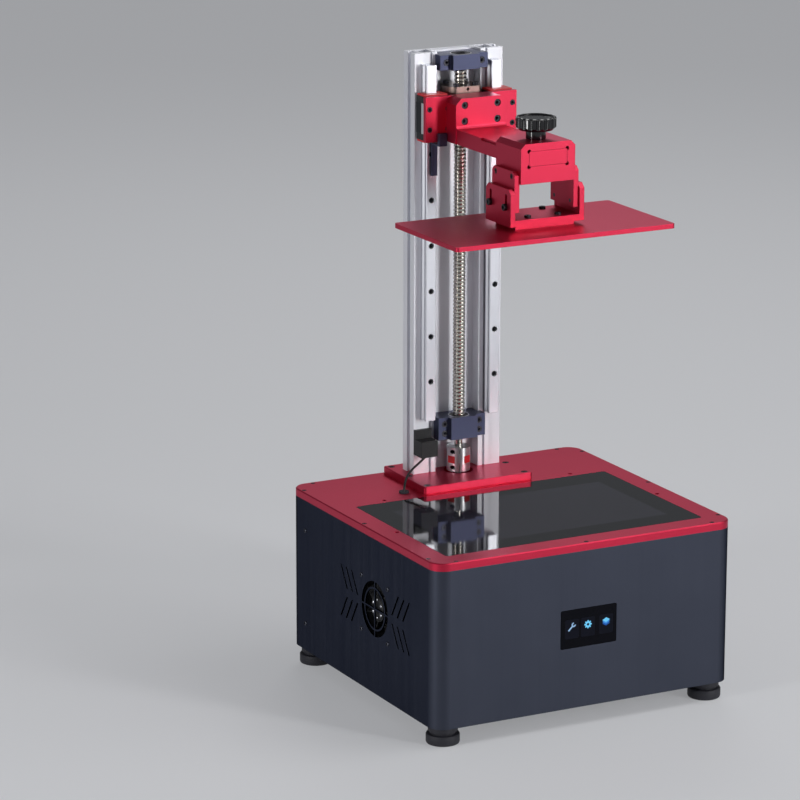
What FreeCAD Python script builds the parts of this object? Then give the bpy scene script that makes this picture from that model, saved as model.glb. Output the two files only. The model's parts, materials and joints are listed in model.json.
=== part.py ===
"""Resin printer: cabinet with exposure screen, open lifting tower, and a levelling build platform.

Millimetres. The origin is under the middle of the cabinet on the surface it stands on: X to the
right as the touch screen is faced, Y to the back, Z up.
"""
import FreeCAD, Part
import math
import os
import Sketcher
from FreeCAD import Placement, Rotation, Vector

# Driving dimensions
SIZES = {
    # Cabinet, its deck and feet
    "cabinet_width": 427, "cabinet_depth": 402, "cabinet_height": 203.5, "cabinet_corner": 20,
    "sheet_wall": 2, "lip_width": 14, "deck_thickness": 10, "deck_bevel": 1.2, "panel_clearance": 0.3,
    "foot_height": 24.5, "foot_diameter": 42.5, "foot_rim": 16, "foot_bevel": 2.5, "foot_neck": 31,
    "foot_inset_x": 23.5, "foot_inset_y": 25, "foot_stud": 6, "foot_stud_length": 6,
    "deck_screw_inset": 5, "deck_screw_corner": 30, "deck_screw_head": 6, "deck_screw_sink": 2.5,
    "deck_screw_shank": 3, "deck_screw_grip": 2,
    "panel_screw_head": 6, "panel_screw_rise": 1.6, "panel_screw_shank": 3, "panel_screw_edge": 43,
    "panel_screw_low": 37, "panel_screw_high": 163,
    # Exposure screen and what lights it
    "build_setback": 59, "glass_width": 368, "glass_depth": 244, "glass_setback": 9, "glass_corner": 4,
    "glass_thickness": 4, "glass_clearance": 0.4, "lcd_width": 310, "lcd_depth": 176, "lcd_thickness": 3,
    "vat_hole": 6, "vat_rear_spacing": 276, "vat_rear_setback": 140.5, "vat_side_spacing": 380,
    "vat_side_setback": 6,
    "light_wall": 2, "light_flange": 14, "light_drop": 112, "board_thickness": 2,
    "sink_base": 6, "sink_fin": 22, "sink_fin_thickness": 2.5, "sink_fins": 17, "sink_margin": 4,
    # Electronics
    "psu_width": 170, "psu_depth": 98, "psu_height": 42, "psu_left": 150, "psu_front": 40,
    "mainboard_width": 150, "mainboard_depth": 100, "mainboard_left": 30, "mainboard_front": 150,
    "standoff_height": 8, "standoff_diameter": 7, "standoff_inset": 6, "chip_size": 22, "chip_height": 4,
    "touch_width": 80, "touch_height": 50, "touch_centre": 128.5, "touch_shift": 2.5, "touch_corner": 2,
    "touch_board_margin": 4, "touch_board_depth": 7,
    "inlet_width": 28, "inlet_height": 48, "inlet_depth": 26, "inlet_shift": 130, "inlet_centre": 75,
    "inlet_corner": 3, "socket_width": 20, "socket_height": 18, "socket_depth": 16, "socket_drop": 11,
    "pin_width": 2, "pin_height": 5, "pin_length": 11, "pin_pitch": 6, "rocker_width": 14,
    "rocker_height": 18, "rocker_rise": 11, "rocker_bay": 12, "rocker_gap": 0.5, "rocker_pin": 3,
    "rocker_tilt": 8,
    # Side fan and its grille
    "fan_size": 80, "fan_depth": 25, "fan_corner": 4, "fan_bore": 76, "fan_pitch": 71.5, "fan_hole": 4,
    "fan_centre_y": -37.8, "fan_centre_z": 136.4, "fan_hub": 34, "fan_hub_length": 19, "fan_blade_tip": 36,
    "fan_blade_chord": 15, "fan_blade_lean": 10, "fan_blade_thickness": 1.6, "fan_blades": 7,
    "fan_strut": 4, "fan_strut_depth": 3, "fan_running_gap": 0.6, "fan_spindle": 5, "fan_fit": 0.05,
    "ring_outer": 72, "ring_width": 7.5, "ring_band": 2.5, "ring_spoke": 2.2,
    "vent_first": 47, "vent_pitch": 14.5, "vent_lean": 17, "vent_low": 5.5, "vent_high": 34,
    "vent_width": 3.6, "floor_vent_length": 90, "floor_vent_width": 4, "floor_vent_pitch": 12,
    "floor_vent_x": 120, "floor_vent_y": -90, "rear_vent_length": 44, "rear_vent_pitch": 10,
    "rear_vent_x": -130, "rear_vent_z": 120,
    # Tower: base plate, extrusion, rails
    "base_width": 160, "base_depth": 116, "base_thickness": 10, "base_front": 80, "base_corner": 3,
    "base_bevel": 0.8,
    "base_screw_inset": 8, "base_screw_head": 9, "base_screw_sink": 5.5, "base_screw_shank": 5,
    "column_front": 141, "column_width": 128, "column_depth": 30, "column_length": 555,
    "channel_width": 63, "channel_depth": 17, "groove_inset": 38.3, "groove_width": 3, "groove_depth": 4,
    "slot_opening": 8, "slot_lip": 2.4, "slot_inner": 15, "slot_depth": 9, "core_hole": 3.5, "core_inset": 6,
    "core_edge": 3.2, "chamber_wall": 3,
    "rail_spacing": 94, "rail_width": 15, "rail_height": 15, "rail_waist": 10.6, "rail_foot": 4,
    "rail_shoulder": 11.5, "rail_bevel": 1, "rail_length": 467, "rail_lift": 74, "rail_hole_pitch": 60,
    "rail_hole_first": 52.5, "rail_hole_count": 7, "rail_hole": 4.5, "rail_sink": 7.5,
    "rail_sink_depth": 6.5, "rail_screw_head": 4, "rail_screw_clearance": 0.2,
    # Ball screw, bearings, coupling, motor
    "screw_proud": 4.5, "screw_diameter": 16, "screw_journal": 12, "screw_tail": 10, "journal_fit": 0.05,
    "bearing_diameter": 28, "bearing_width": 9, "block_width": 69, "block_front": 14, "block_nose": 7,
    "block_nose_width": 39, "block_tenon": 62, "block_screw_spacing": 51, "block_screw_head": 8.5,
    "block_screw_sink": 5, "block_screw_shank": 5, "upper_block_height": 19.5, "upper_block_drop": 2.5,
    "lower_block_height": 29.5, "lower_block_lift": 45.5, "lower_screw_spacing": 12.6, "end_gap": 0.5,
    "coupling_diameter": 31, "coupling_lift": 0.5, "hub_length": 11, "jaw_length": 10, "jaw_gap": 0.3,
    "jaw_root": 16, "spider_bore": 8, "spider_leg": 10.4, "hub_slit": 1.2, "hub_screw": 6,
    "hub_screw_offset": 9, "hub_screw_depth": 6, "motor_size": 57, "motor_length": 76,
    "motor_corner": 5, "motor_pilot": 38, "motor_pilot_height": 1.6, "motor_shaft": 8, "motor_bore": 10,
    "motor_bore_depth": 10, "shaft_opening": 39,
    # Limit sensor, its lead and flag
    "sensor_left": 64, "sensor_width": 24, "sensor_depth": 22.5, "sensor_lift": 27, "sensor_height": 21.5,
    "sensor_tail": 12, "sensor_tail_depth": 5,
    "sensor_slot_reach": 14, "sensor_slot_width": 4, "sensor_slot_depth": 15.5,
    "lead_diameter": 3, "lead_start": 1.25, "lead_exit_x": -51, "lead_exit_y": 131, "lead_hole_x": -99,
    "lead_hole_y": 101,
    "grommet_diameter": 9, "grommet_flange": 13, "grommet_flange_height": 2.5, "grommet_bore": 3.2,
    "flag_left": 49, "flag_width": 8.5, "flag_thickness": 2, "flag_blade": 41.5, "flag_drop": 3.5,
    "flag_tab_width": 11.5, "flag_tab_height": 11, "flag_tab_thickness": 5,
    # Carriage: guide blocks, plate, ball nut
    "guide_width": 34, "guide_standoff": 4.3, "guide_height": 28, "guide_length": 39.4,
    "guide_clearance": 0.3, "cap_length": 8.5, "cap_inset": 0.4, "seal_length": 2.5, "seal_inset": 1,
    "carriage_width": 132, "carriage_height": 58, "carriage_thickness": 6, "guide_hole_pitch": 26,
    "carriage_screw_head": 7, "carriage_screw_sink": 3.5, "carriage_screw_shank": 4,
    "nut_body": 28, "nut_length": 42, "nut_flange": 52, "nut_flat": 40, "nut_flange_height": 10,
    "nut_bore": 16.6, "nut_grease_hole": 4, "nut_grease_drop": 3.5, "nut_seat_width": 48,
    "nut_seat_height": 36, "nut_seat_drop": 2, "nut_seat_wall": 4, "nut_fit": 0.1,
    "nut_screw_circle": 39, "nut_screw_head": 8, "nut_screw_rise": 4,
    # Arm with the tongue that the build head slides on
    "arm_width": 73, "arm_height": 19, "arm_root": 26, "arm_bevel": 8, "arm_fillet": 4, "arm_setback": 1,
    "arm_rebate": 3, "arm_rebate_length": 44, "arm_screw_spacing": 47.2, "arm_screw_rise": 28.5,
    "arm_screw_pitch": 20.5, "arm_screw_head": 9, "arm_screw_sink": 6, "arm_screw_shank": 5,
    "tongue_width": 53.4, "tongue_fit": 0.3,
    # Build head
    "head_width": 77, "head_depth": 63, "head_height": 50, "head_floor": 21.5, "head_bevel": 6,
    "relief_diameter": 5, "clamp_diameter": 10, "clamp_fit": 0.2, "clamp_foot": 14, "clamp_foot_height": 2,
    "clamp_travel": 3, "clamp_gap": 0.1, "side_thickness": 7, "side_depth": 57, "side_height": 51.5,
    "side_drop": 35.5, "side_bevel": 5, "side_screw_pitch": 40, "side_screw_drop": 6.5,
    "side_screw_head": 7, "side_screw_sink": 3.5, "side_screw_shank": 4,
    "knob_diameter": 51, "knob_hub": 25, "knob_hub_height": 11, "knob_rim": 14, "knob_shoulder": 1.5,
    "knob_dome": 30, "knob_dome_drop": 1, "knob_crown": 6, "knob_undercut": 4, "knob_lobes": 16,
    "knob_scallop": 5.5, "knob_scallop_depth": 2.2, "knob_gap": 0.3,
    # Platform: levelling bracket, spacer, build plate
    "build_lift": 371, "plate_width": 310, "plate_depth": 164, "plate_thickness": 6, "plate_corner": 4,
    "spacer_width": 84, "spacer_depth": 50, "spacer_thickness": 5,
    "bracket_wall": 6.6, "bracket_floor": 8, "bracket_depth": 63, "bracket_height": 47,
    "bracket_bevel": 6, "level_clearance": 0.3, "level_gap": 9, "level_slot": 5.6, "level_travel": 13.5,
    "level_screw_spacing": 39, "level_screw_lift": 7, "level_screw_head": 9, "level_screw_rise": 4,
    "level_screw_shank": 5, "plate_screw_x": 43, "plate_screw_y": 39, "plate_screw_head": 8.5,
    "plate_screw_rise": 3, "plate_screw_shank": 5, "plate_screw_bite": 4,
}

doc = FreeCAD.newDocument("resin_printer")
sheet = doc.addObject("Spreadsheet::Sheet", "dims")
for row, (alias, number) in enumerate(SIZES.items(), 1):
    sheet.set(f"A{row}", alias)
    sheet.set(f"B{row}", str(number))
    sheet.setAlias(f"B{row}", alias)
doc.recompute()


class Size:
    """A length with the sheet expression that drives it."""

    def __init__(self, text, value):
        self.text = text
        self.value = value

    def joined(self, sign, other, value):
        return Size(f"({self.text} {sign} {other.text})", value)

    def __add__(self, other):
        other = sized(other)
        return self.joined("+", other, self.value + other.value)

    def __sub__(self, other):
        other = sized(other)
        return self.joined("-", other, self.value - other.value)

    def __mul__(self, other):
        other = sized(other)
        return self.joined("*", other, self.value * other.value)

    def __truediv__(self, other):
        other = sized(other)
        return self.joined("/", other, self.value / other.value)

    def __neg__(self):
        return self * -1

    __radd__ = __add__
    __rmul__ = __mul__

    def __rsub__(self, other):
        return sized(other) - self


def sized(number):
    return number if isinstance(number, Size) else Size(f"({number})", float(number))


class Sheet:
    """Reads a driving dimension by its alias."""

    def __getattr__(self, alias):
        return Size(f"dims.{alias}", float(SIZES[alias]))


d = Sheet()
PLANES = {"XY": "XY_Plane", "XZ": "XZ_Plane", "YZ": "YZ_Plane"}
START, END, CENTRE = 1, 2, 3
COUPLING_TURN = 158.5
sub_parts = []


# Sketches and features

def polygon(*points):
    """A closed outline of (x, y) corners; a third value rounds a square corner by that radius."""
    return "polygon", [tuple(sized(value) for value in point) for point in points]


def circle(x, y, diameter):
    return "circle", (sized(x), sized(y), sized(diameter))


def rectangle(x0, x1, y0, y1, *radius):
    return polygon((x0, y0, *radius), (x1, y0, *radius), (x1, y1, *radius), (x0, y1, *radius))


def mirrored(points):
    """The corners of a right half, from front to back, closed by its mirror image."""
    return polygon(*points, *[(-sized(x), y) for x, y in reversed(points)])


class Drawing:
    """One sketch on a plane of a body, every point of it fixed by an expression."""

    def __init__(self, body, plane, level):
        self.sketch = body.newObject("Sketcher::SketchObject", "Sketch")
        role = PLANES[plane]
        support = next(item for item in body.Origin.OriginFeatures if item.Role == role)
        self.sketch.AttachmentSupport = [(support, "")]
        self.sketch.MapMode = "FlatFace"
        self.sketch.setExpression("AttachmentOffset.Base.z", sized(level).text)
        self.constraints = []
        self.expressions = []

    def fix(self, kind, size, *where):
        self.expressions.append((len(self.constraints), size.text))
        self.constraints.append(Sketcher.Constraint(kind, *where, size.value))

    def fix_point(self, geometry, point, place):
        self.fix("DistanceX", place[0], geometry, point)
        self.fix("DistanceY", place[1], geometry, point)

    def join(self, *ends):
        self.constraints.append(Sketcher.Constraint("Coincident", *ends))

    def add_circle(self, x, y, diameter):
        outline = Part.Circle(Vector(x.value, y.value, 0), Vector(0, 0, 1), diameter.value / 2)
        geometry = self.sketch.addGeometry(outline)
        self.fix_point(geometry, CENTRE, (x, y))
        self.fix("Diameter", diameter, geometry)

    def add_polygon(self, corners):
        count = len(corners)
        steps = [direction(corners[i], corners[(i + 1) % count]) for i in range(count)]
        entries, exits = [], []
        for i, corner in enumerate(corners):
            radius = corner[2] if len(corner) == 3 else sized(0)
            entries.append(moved(corner, steps[i - 1], -radius))
            exits.append(moved(corner, steps[i], radius))
        lines = []
        for i in range(count):
            line = Part.LineSegment(point_of(exits[i]), point_of(entries[(i + 1) % count]))
            lines.append(self.sketch.addGeometry(line))
        for i, corner in enumerate(corners):
            before, after = lines[i - 1], lines[i]
            self.fix_point(after, START, exits[i])
            if len(corner) == 2:
                self.join(before, END, after, START)
            else:
                self.fix_point(before, END, entries[i])
                self.add_corner(before, after, corner, steps[i - 1], steps[i])

    def add_corner(self, before, after, corner, arriving, leaving):
        radius = corner[2]
        middle = point_of(moved(moved(corner, arriving, -radius), leaving, radius))
        turn_left = arriving[0] * leaving[1] - arriving[1] * leaving[0] > 0
        first, last = (leaving, arriving) if turn_left else (arriving, leaving)
        sign = -1 if turn_left else 1
        begin = math.atan2(sign * first[1], sign * first[0])
        finish = math.atan2(-sign * last[1], -sign * last[0])
        outline = Part.Circle(middle, Vector(0, 0, 1), radius.value)
        arc = self.sketch.addGeometry(Part.ArcOfCircle(outline, begin, finish))
        near, far = (START, END) if turn_left else (END, START)
        self.join(arc, near, before, END)
        self.join(arc, far, after, START)
        self.fix("Radius", radius, arc)

    def finished(self):
        self.sketch.addConstraint(self.constraints)
        for index, text in self.expressions:
            self.sketch.setExpression(f"Constraints[{index}]", text)
        return self.sketch


def direction(start, end):
    dx = end[0].value - start[0].value
    dy = end[1].value - start[1].value
    length = math.hypot(dx, dy)
    return round(dx / length, 9), round(dy / length, 9)


def moved(corner, step, distance):
    return corner[0] + distance * step[0], corner[1] + distance * step[1]


def point_of(place):
    return Vector(place[0].value, place[1].value, 0)


def draw(body, plane, loops, level):
    drawing = Drawing(body, plane, level)
    for kind, values in loops:
        if kind == "circle":
            drawing.add_circle(*values)
        else:
            drawing.add_polygon(values)
    return drawing.finished()


def new_body(label):
    body = doc.addObject("PartDesign::Body", label)
    body.Label = label
    body.AllowCompound = True
    sub_parts.append(body)
    return body


def extruded(kind, body, plane, loops, low, high):
    low, high = sized(low), sized(high)
    feature = body.newObject(f"PartDesign::{kind}", kind)
    feature.Profile = draw(body, plane, loops, -high if plane == "XZ" else low)
    feature.setExpression("Length", (high - low).text)
    return feature


def add(body, plane, loops, low, high):
    """Extrude loops between two levels of the axis square to the plane."""
    return extruded("Pad", body, plane, loops, low, high)


def cut(body, plane, loops, low, high):
    """Take out loops between two levels of the axis square to the plane."""
    pocket = extruded("Pocket", body, plane, loops, low, high)
    pocket.Reversed = True
    return pocket


def turned(body, *points):
    """Revolve (radius, height) points about the body's own Z axis."""
    feature = body.newObject("PartDesign::Revolution", "Revolution")
    feature.Profile = draw(body, "XZ", [polygon(*points)], 0)
    feature.ReferenceAxis = (feature.Profile[0], ["V_Axis"])
    feature.Angle = 360
    return feature


def repeated(body, feature, count):
    """Repeat a feature round the body's own Z axis."""
    pattern = body.newObject("PartDesign::PolarPattern", "PolarPattern")
    pattern.Originals = [feature]
    pattern.Axis = (next(item for item in body.Origin.OriginFeatures if item.Role == "Z_Axis"), [""])
    pattern.Angle = 360
    pattern.setExpression("Occurrences", sized(count).text)
    body.Tip = pattern
    return pattern


def bevelled(body, size, wanted):
    """Chamfer the edges of the body's last feature that a test picks."""
    doc.recompute()
    base = body.Tip
    edges = [f"Edge{number}" for number, edge in enumerate(base.Shape.Edges, 1) if wanted(edge)]
    feature = body.newObject("PartDesign::Chamfer", "Chamfer")
    feature.Base = (base, edges)
    feature.setExpression("Size", size.text)
    return feature


def lies_at(level):
    """Test for an edge that lies flat at one height."""
    def wanted(edge):
        box = edge.BoundBox
        return max(abs(box.ZMin - level.value), abs(box.ZMax - level.value)) < 0.001
    return wanted


def placed(body, x, y, z):
    for axis, size in zip("xyz", (x, y, z)):
        body.setExpression(f"Placement.Base.{axis}", sized(size).text)


def grid(xs, ys, diameter):
    return [circle(x, y, diameter) for x in xs for y in ys]


def both(size):
    return [-size, size]


# Levels and places that several pieces share

half_width = d.cabinet_width / 2
half_depth = d.cabinet_depth / 2
inner_width = half_width - d.sheet_wall
inner_depth = half_depth - d.sheet_wall
cabinet_base = d.foot_height
floor_top = cabinet_base + d.sheet_wall
deck_base = cabinet_base + d.cabinet_height
deck = deck_base + d.deck_thickness
build_y = -d.build_setback
glass_y = build_y + d.glass_setback
tower_foot = deck + d.base_thickness
column_top = tower_foot + d.column_length
column_back = d.column_front + d.column_depth
channel_floor = d.column_front + d.channel_depth
screw_y = d.column_front - d.screw_proud
guide_face = d.column_front - d.guide_height
carriage_front = guide_face - d.carriage_thickness
arm_front = carriage_front - d.arm_root
upper_block_top = column_top - d.upper_block_drop
upper_block_base = upper_block_top - d.upper_block_height
lower_block_base = tower_foot + d.lower_block_lift
lower_block_top = lower_block_base + d.lower_block_height
print_face = deck + d.build_lift
plate_top = print_face + d.plate_thickness
bracket_base = plate_top + d.spacer_thickness
bracket_floor_top = bracket_base + d.bracket_floor
side_base = bracket_floor_top + d.level_gap
head_base = side_base + d.side_drop
head_top = head_base + d.head_height
head_front = build_y - d.head_depth / 2
head_back = build_y + d.head_depth / 2
tongue_base = head_base + d.head_floor
tongue_top = tongue_base + d.arm_height
carriage_base = tongue_base
carriage_top = carriage_base + d.carriage_height
carriage_middle = carriage_base + d.carriage_height / 2
nut_level = carriage_top - d.nut_seat_drop
sensor_base = tower_foot + d.sensor_lift
rail_x = d.rail_spacing / 2
rail_base = tower_foot + d.rail_lift
coupling_base = tower_foot + d.coupling_lift
jaw_base = coupling_base + d.hub_length
jaw_top = jaw_base + d.jaw_length
coupling_top = jaw_top + d.hub_length


# Cabinet

def deck_screw_places():
    """Three screws along each edge of the deck, clear of its round corners."""
    edge_x = half_width - d.deck_screw_inset
    edge_y = half_depth - d.deck_screw_inset
    along_x = half_width - d.deck_screw_corner
    along_y = half_depth - d.deck_screw_corner
    middle = sized(0)
    front_and_back = [(x, y) for y in both(edge_y) for x in (-along_x, middle, along_x)]
    sides = [(x, y) for x in both(edge_x) for y in (-along_y, middle, along_y)]
    return front_and_back + sides


def foot_places():
    return [(x, y) for x in both(half_width - d.foot_inset_x) for y in both(half_depth - d.foot_inset_y)]


def panel_screw_places():
    """(y, z) of the side panel screws near the back edge."""
    y = half_depth - d.panel_screw_edge
    return [(y, cabinet_base + rise) for rise in (d.panel_screw_low, d.panel_screw_high)]


def fan_screw_places():
    pitch = d.fan_pitch / 2
    return [(d.fan_centre_y + y, d.fan_centre_z + z) for y in both(pitch) for z in both(pitch)]


def vent_loops():
    """Leaning slots in four groups of three that point at the fan."""
    loops = []
    for side_y in (-1, 1):
        for side_z in (-1, 1):
            for number in range(3):
                inner = d.vent_first + number * d.vent_pitch
                outer = inner + d.vent_lean
                half = d.vent_width / 2
                corners = [(inner - half, d.vent_low), (inner + half, d.vent_low),
                           (outer + half, d.vent_high), (outer - half, d.vent_high)]
                loops.append(polygon(*[(d.fan_centre_y + side_y * y, d.fan_centre_z + side_z * z)
                                       for y, z in corners]))
    return loops


def ring_loops():
    """Nested circles of the fan grille: an open ring, a thin band and an open middle."""
    band = d.ring_outer - 2 * d.ring_width
    inner = band - 2 * d.ring_band
    return [circle(d.fan_centre_y, d.fan_centre_z, size) for size in (d.ring_outer, band, inner)]


def inlet_outline(clearance):
    half_w = d.inlet_width / 2 + clearance
    half_h = d.inlet_height / 2 + clearance
    return rectangle(d.inlet_shift - half_w, d.inlet_shift + half_w,
                     d.inlet_centre - half_h, d.inlet_centre + half_h, d.inlet_corner)


def touch_outline(clearance):
    half_w = d.touch_width / 2 + clearance
    half_h = d.touch_height / 2 + clearance
    return rectangle(d.touch_shift - half_w, d.touch_shift + half_w,
                     d.touch_centre - half_h, d.touch_centre + half_h, d.touch_corner)


def outer_outline(inset):
    half_w = half_width - inset
    half_d = half_depth - inset
    return rectangle(-half_w, half_w, -half_d, half_d, d.cabinet_corner - inset)


def cabinet_shell():
    body = new_body("cabinet_shell")
    wall_inner = outer_outline(d.sheet_wall)
    add(body, "XY", [outer_outline(sized(0)), wall_inner], cabinet_base, deck_base)
    half_w = half_width - d.lip_width
    half_d = half_depth - d.lip_width
    opening = rectangle(-half_w, half_w, -half_d, half_d)
    add(body, "XY", [wall_inner, opening], deck_base - d.sheet_wall, deck_base)
    screw_holes = [circle(x, y, d.deck_screw_shank) for x, y in deck_screw_places()]
    cut(body, "XY", screw_holes, deck_base - d.sheet_wall, deck_base)
    left_wall = (-half_width, -inner_width)
    cut(body, "YZ", ring_loops(), *left_wall)
    reach = d.ring_outer / 2
    spoke = d.ring_spoke / 2
    y, z = d.fan_centre_y, d.fan_centre_z
    add(body, "YZ", [rectangle(y - reach, y + reach, z - spoke, z + spoke)], *left_wall)
    add(body, "YZ", [rectangle(y - spoke, y + spoke, z - reach, z + reach)], *left_wall)
    cut(body, "YZ", vent_loops(), *left_wall)
    cut(body, "YZ", [circle(y, z, d.fan_hole) for y, z in fan_screw_places()], *left_wall)
    panel_holes = [circle(y, z, d.panel_screw_shank) for y, z in panel_screw_places()]
    cut(body, "YZ", panel_holes, *left_wall)
    cut(body, "YZ", panel_holes, inner_width, half_width)
    cut(body, "XZ", [touch_outline(d.panel_clearance)], -half_depth, -inner_depth)
    cut(body, "XZ", [inlet_outline(d.panel_clearance)], inner_depth, half_depth)
    rear_vents = []
    for number in range(-3, 4):
        x = d.rear_vent_x + number * d.rear_vent_pitch
        rear_vents.append(rectangle(x - d.vent_width / 2, x + d.vent_width / 2,
                                    d.rear_vent_z - d.rear_vent_length / 2,
                                    d.rear_vent_z + d.rear_vent_length / 2))
    cut(body, "XZ", rear_vents, inner_depth, half_depth)


def board_places():
    """The four standoffs under the mainboard."""
    x0, y0 = d.mainboard_left, -d.mainboard_front
    inset = d.standoff_inset
    xs = (x0 + inset, x0 + d.mainboard_width - inset)
    ys = (y0 + inset, y0 + d.mainboard_depth - inset)
    return xs, ys


def bottom_plate():
    body = new_body("bottom_plate")
    add(body, "XY", [outer_outline(d.sheet_wall + d.panel_clearance)], cabinet_base, floor_top)
    cut(body, "XY", [circle(x, y, d.foot_stud + d.panel_clearance) for x, y in foot_places()],
        cabinet_base, floor_top)
    vents = []
    for number in range(-4, 5):
        x = -d.floor_vent_x + number * d.floor_vent_pitch
        vents.append(rectangle(x - d.floor_vent_width / 2, x + d.floor_vent_width / 2,
                               d.floor_vent_y - d.floor_vent_length / 2,
                               d.floor_vent_y + d.floor_vent_length / 2))
    cut(body, "XY", vents, cabinet_base, floor_top)
    add(body, "XY", grid(*board_places(), d.standoff_diameter), floor_top, floor_top + d.standoff_height)


def feet():
    body = new_body("feet")
    places = foot_places()
    top = cabinet_base + d.foot_stud_length
    add(body, "XY", [circle(x, y, d.foot_diameter) for x, y in places], 0, d.foot_rim)
    bevelled(body, d.foot_bevel, lies_at(sized(0)))
    add(body, "XY", [circle(x, y, d.foot_neck) for x, y in places], d.foot_rim, cabinet_base)
    add(body, "XY", [circle(x, y, d.foot_stud) for x, y in places], cabinet_base, top)


def glass_outline(clearance):
    half_w = d.glass_width / 2 + clearance
    half_d = d.glass_depth / 2 + clearance
    return rectangle(-half_w, half_w, glass_y - half_d, glass_y + half_d, d.glass_corner)


def lcd_outline(clearance):
    half_w = d.lcd_width / 2 + clearance
    half_d = d.lcd_depth / 2 + clearance
    return rectangle(-half_w, half_w, build_y - half_d, build_y + half_d)


def base_screw_places():
    xs = both(d.base_width / 2 - d.base_screw_inset)
    front = d.base_front + d.base_screw_inset
    back = d.base_front + d.base_depth - d.base_screw_inset
    return xs, (front, (front + back) / 2, back)


def top_plate():
    body = new_body("top_plate")
    add(body, "XY", [outer_outline(sized(0))], deck_base, deck)
    bevelled(body, d.deck_bevel, lies_at(deck))
    cut(body, "XY", [glass_outline(d.glass_clearance)], deck - d.glass_thickness, deck)
    cut(body, "XY", [lcd_outline(d.glass_clearance)], deck_base, deck - d.glass_thickness)
    cut(body, "XY", [circle(0, screw_y, d.shaft_opening)], deck_base, deck)
    vat_holes = grid(both(d.vat_rear_spacing / 2), [build_y + d.vat_rear_setback], d.vat_hole)
    vat_holes += grid(both(d.vat_side_spacing / 2), [build_y + d.vat_side_setback], d.vat_hole)
    cut(body, "XY", vat_holes, deck_base, deck)
    cut(body, "XY", [circle(d.lead_hole_x, d.lead_hole_y, d.grommet_diameter)], deck_base, deck)
    sink = d.deck_screw_head + d.panel_clearance
    screws = deck_screw_places()
    cut(body, "XY", [circle(x, y, sink) for x, y in screws], deck - d.deck_screw_sink, deck)
    cut(body, "XY", [circle(x, y, d.deck_screw_shank) for x, y in screws],
        deck_base, deck - d.deck_screw_sink)
    cut(body, "XY", grid(*base_screw_places(), d.base_screw_shank), deck_base, deck)


def deck_screws():
    body = new_body("deck_screws")
    seat = deck - d.deck_screw_sink
    places = deck_screw_places()
    add(body, "XY", [circle(x, y, d.deck_screw_head) for x, y in places], seat, deck)
    add(body, "XY", [circle(x, y, d.deck_screw_shank) for x, y in places],
        deck_base - d.deck_screw_grip, seat)


def panel_screws():
    body = new_body("panel_screws")
    outside = half_width + d.panel_screw_rise
    grip = inner_width - d.deck_screw_grip
    fan_heads = [circle(y, z, d.panel_screw_head) for y, z in fan_screw_places()]
    heads = [circle(y, z, d.panel_screw_head) for y, z in panel_screw_places()]
    shanks = [circle(y, z, d.panel_screw_shank) for y, z in panel_screw_places()]
    fan_shanks = [circle(y, z, d.fan_hole) for y, z in fan_screw_places()]
    add(body, "YZ", heads + fan_heads, -outside, -half_width)
    add(body, "YZ", shanks + fan_shanks, -half_width, -grip)
    add(body, "YZ", heads, half_width, outside)
    add(body, "YZ", shanks, grip, half_width)


# Exposure screen and light engine

def screen_glass():
    body = new_body("screen_glass")
    add(body, "XY", [glass_outline(sized(0))], deck - d.glass_thickness, deck)


def lcd_panel():
    body = new_body("lcd_panel")
    under_glass = deck - d.glass_thickness
    add(body, "XY", [lcd_outline(sized(0))], under_glass - d.lcd_thickness, under_glass)


def light_box():
    body = new_body("light_box")
    bottom = deck_base - d.light_drop
    inside = lcd_outline(-d.light_wall)
    add(body, "XY", [lcd_outline(d.light_flange), inside], deck_base - d.light_wall, deck_base)
    add(body, "XY", [lcd_outline(sized(0)), inside], bottom, deck_base - d.light_wall)


def led_board():
    body = new_body("led_board")
    top = deck_base - d.light_drop
    add(body, "XY", [lcd_outline(d.sink_margin)], top - d.board_thickness, top)


def heat_sink():
    body = new_body("heat_sink")
    top = deck_base - d.light_drop - d.board_thickness
    base = top - d.sink_base
    add(body, "XY", [lcd_outline(sized(0))], base, top)
    fin_x = d.lcd_width / 2
    half_d = d.lcd_depth / 2
    fin = add(body, "XY", [rectangle(-fin_x, -fin_x + d.sink_fin_thickness,
                                     build_y - half_d, build_y + half_d)], base - d.sink_fin, base)
    pattern = body.newObject("PartDesign::LinearPattern", "LinearPattern")
    pattern.Originals = [fin]
    pattern.Direction = (next(item for item in body.Origin.OriginFeatures if item.Role == "X_Axis"), [""])
    pattern.setExpression("Length", (d.lcd_width - d.sink_fin_thickness).text)
    pattern.setExpression("Occurrences", d.sink_fins.text)
    body.Tip = pattern


# Electronics

def mainboard():
    body = new_body("mainboard")
    x0, y0 = d.mainboard_left, -d.mainboard_front
    base = floor_top + d.standoff_height
    top = base + d.board_thickness
    add(body, "XY", [rectangle(x0, x0 + d.mainboard_width, y0, y0 + d.mainboard_depth)], base, top)
    middle_x = x0 + d.mainboard_width / 2
    middle_y = y0 + d.mainboard_depth / 2
    half = d.chip_size / 2
    for shift in both(d.mainboard_width / 4):
        chip = rectangle(middle_x + shift - half, middle_x + shift + half, middle_y - half, middle_y + half)
        add(body, "XY", [chip], top, top + d.chip_height)


def power_supply():
    body = new_body("power_supply")
    x0, y0 = -d.psu_left, d.psu_front
    add(body, "XY", [rectangle(x0, x0 + d.psu_width, y0, y0 + d.psu_depth)],
        floor_top, floor_top + d.psu_height)


def touch_glass():
    body = new_body("touch_glass")
    add(body, "XZ", [touch_outline(sized(0))], -half_depth, -inner_depth)


def touch_module():
    body = new_body("touch_module")
    add(body, "XZ", [touch_outline(d.touch_board_margin)], -inner_depth, d.touch_board_depth - inner_depth)


def rocker_middle():
    return d.inlet_centre + d.rocker_rise


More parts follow.
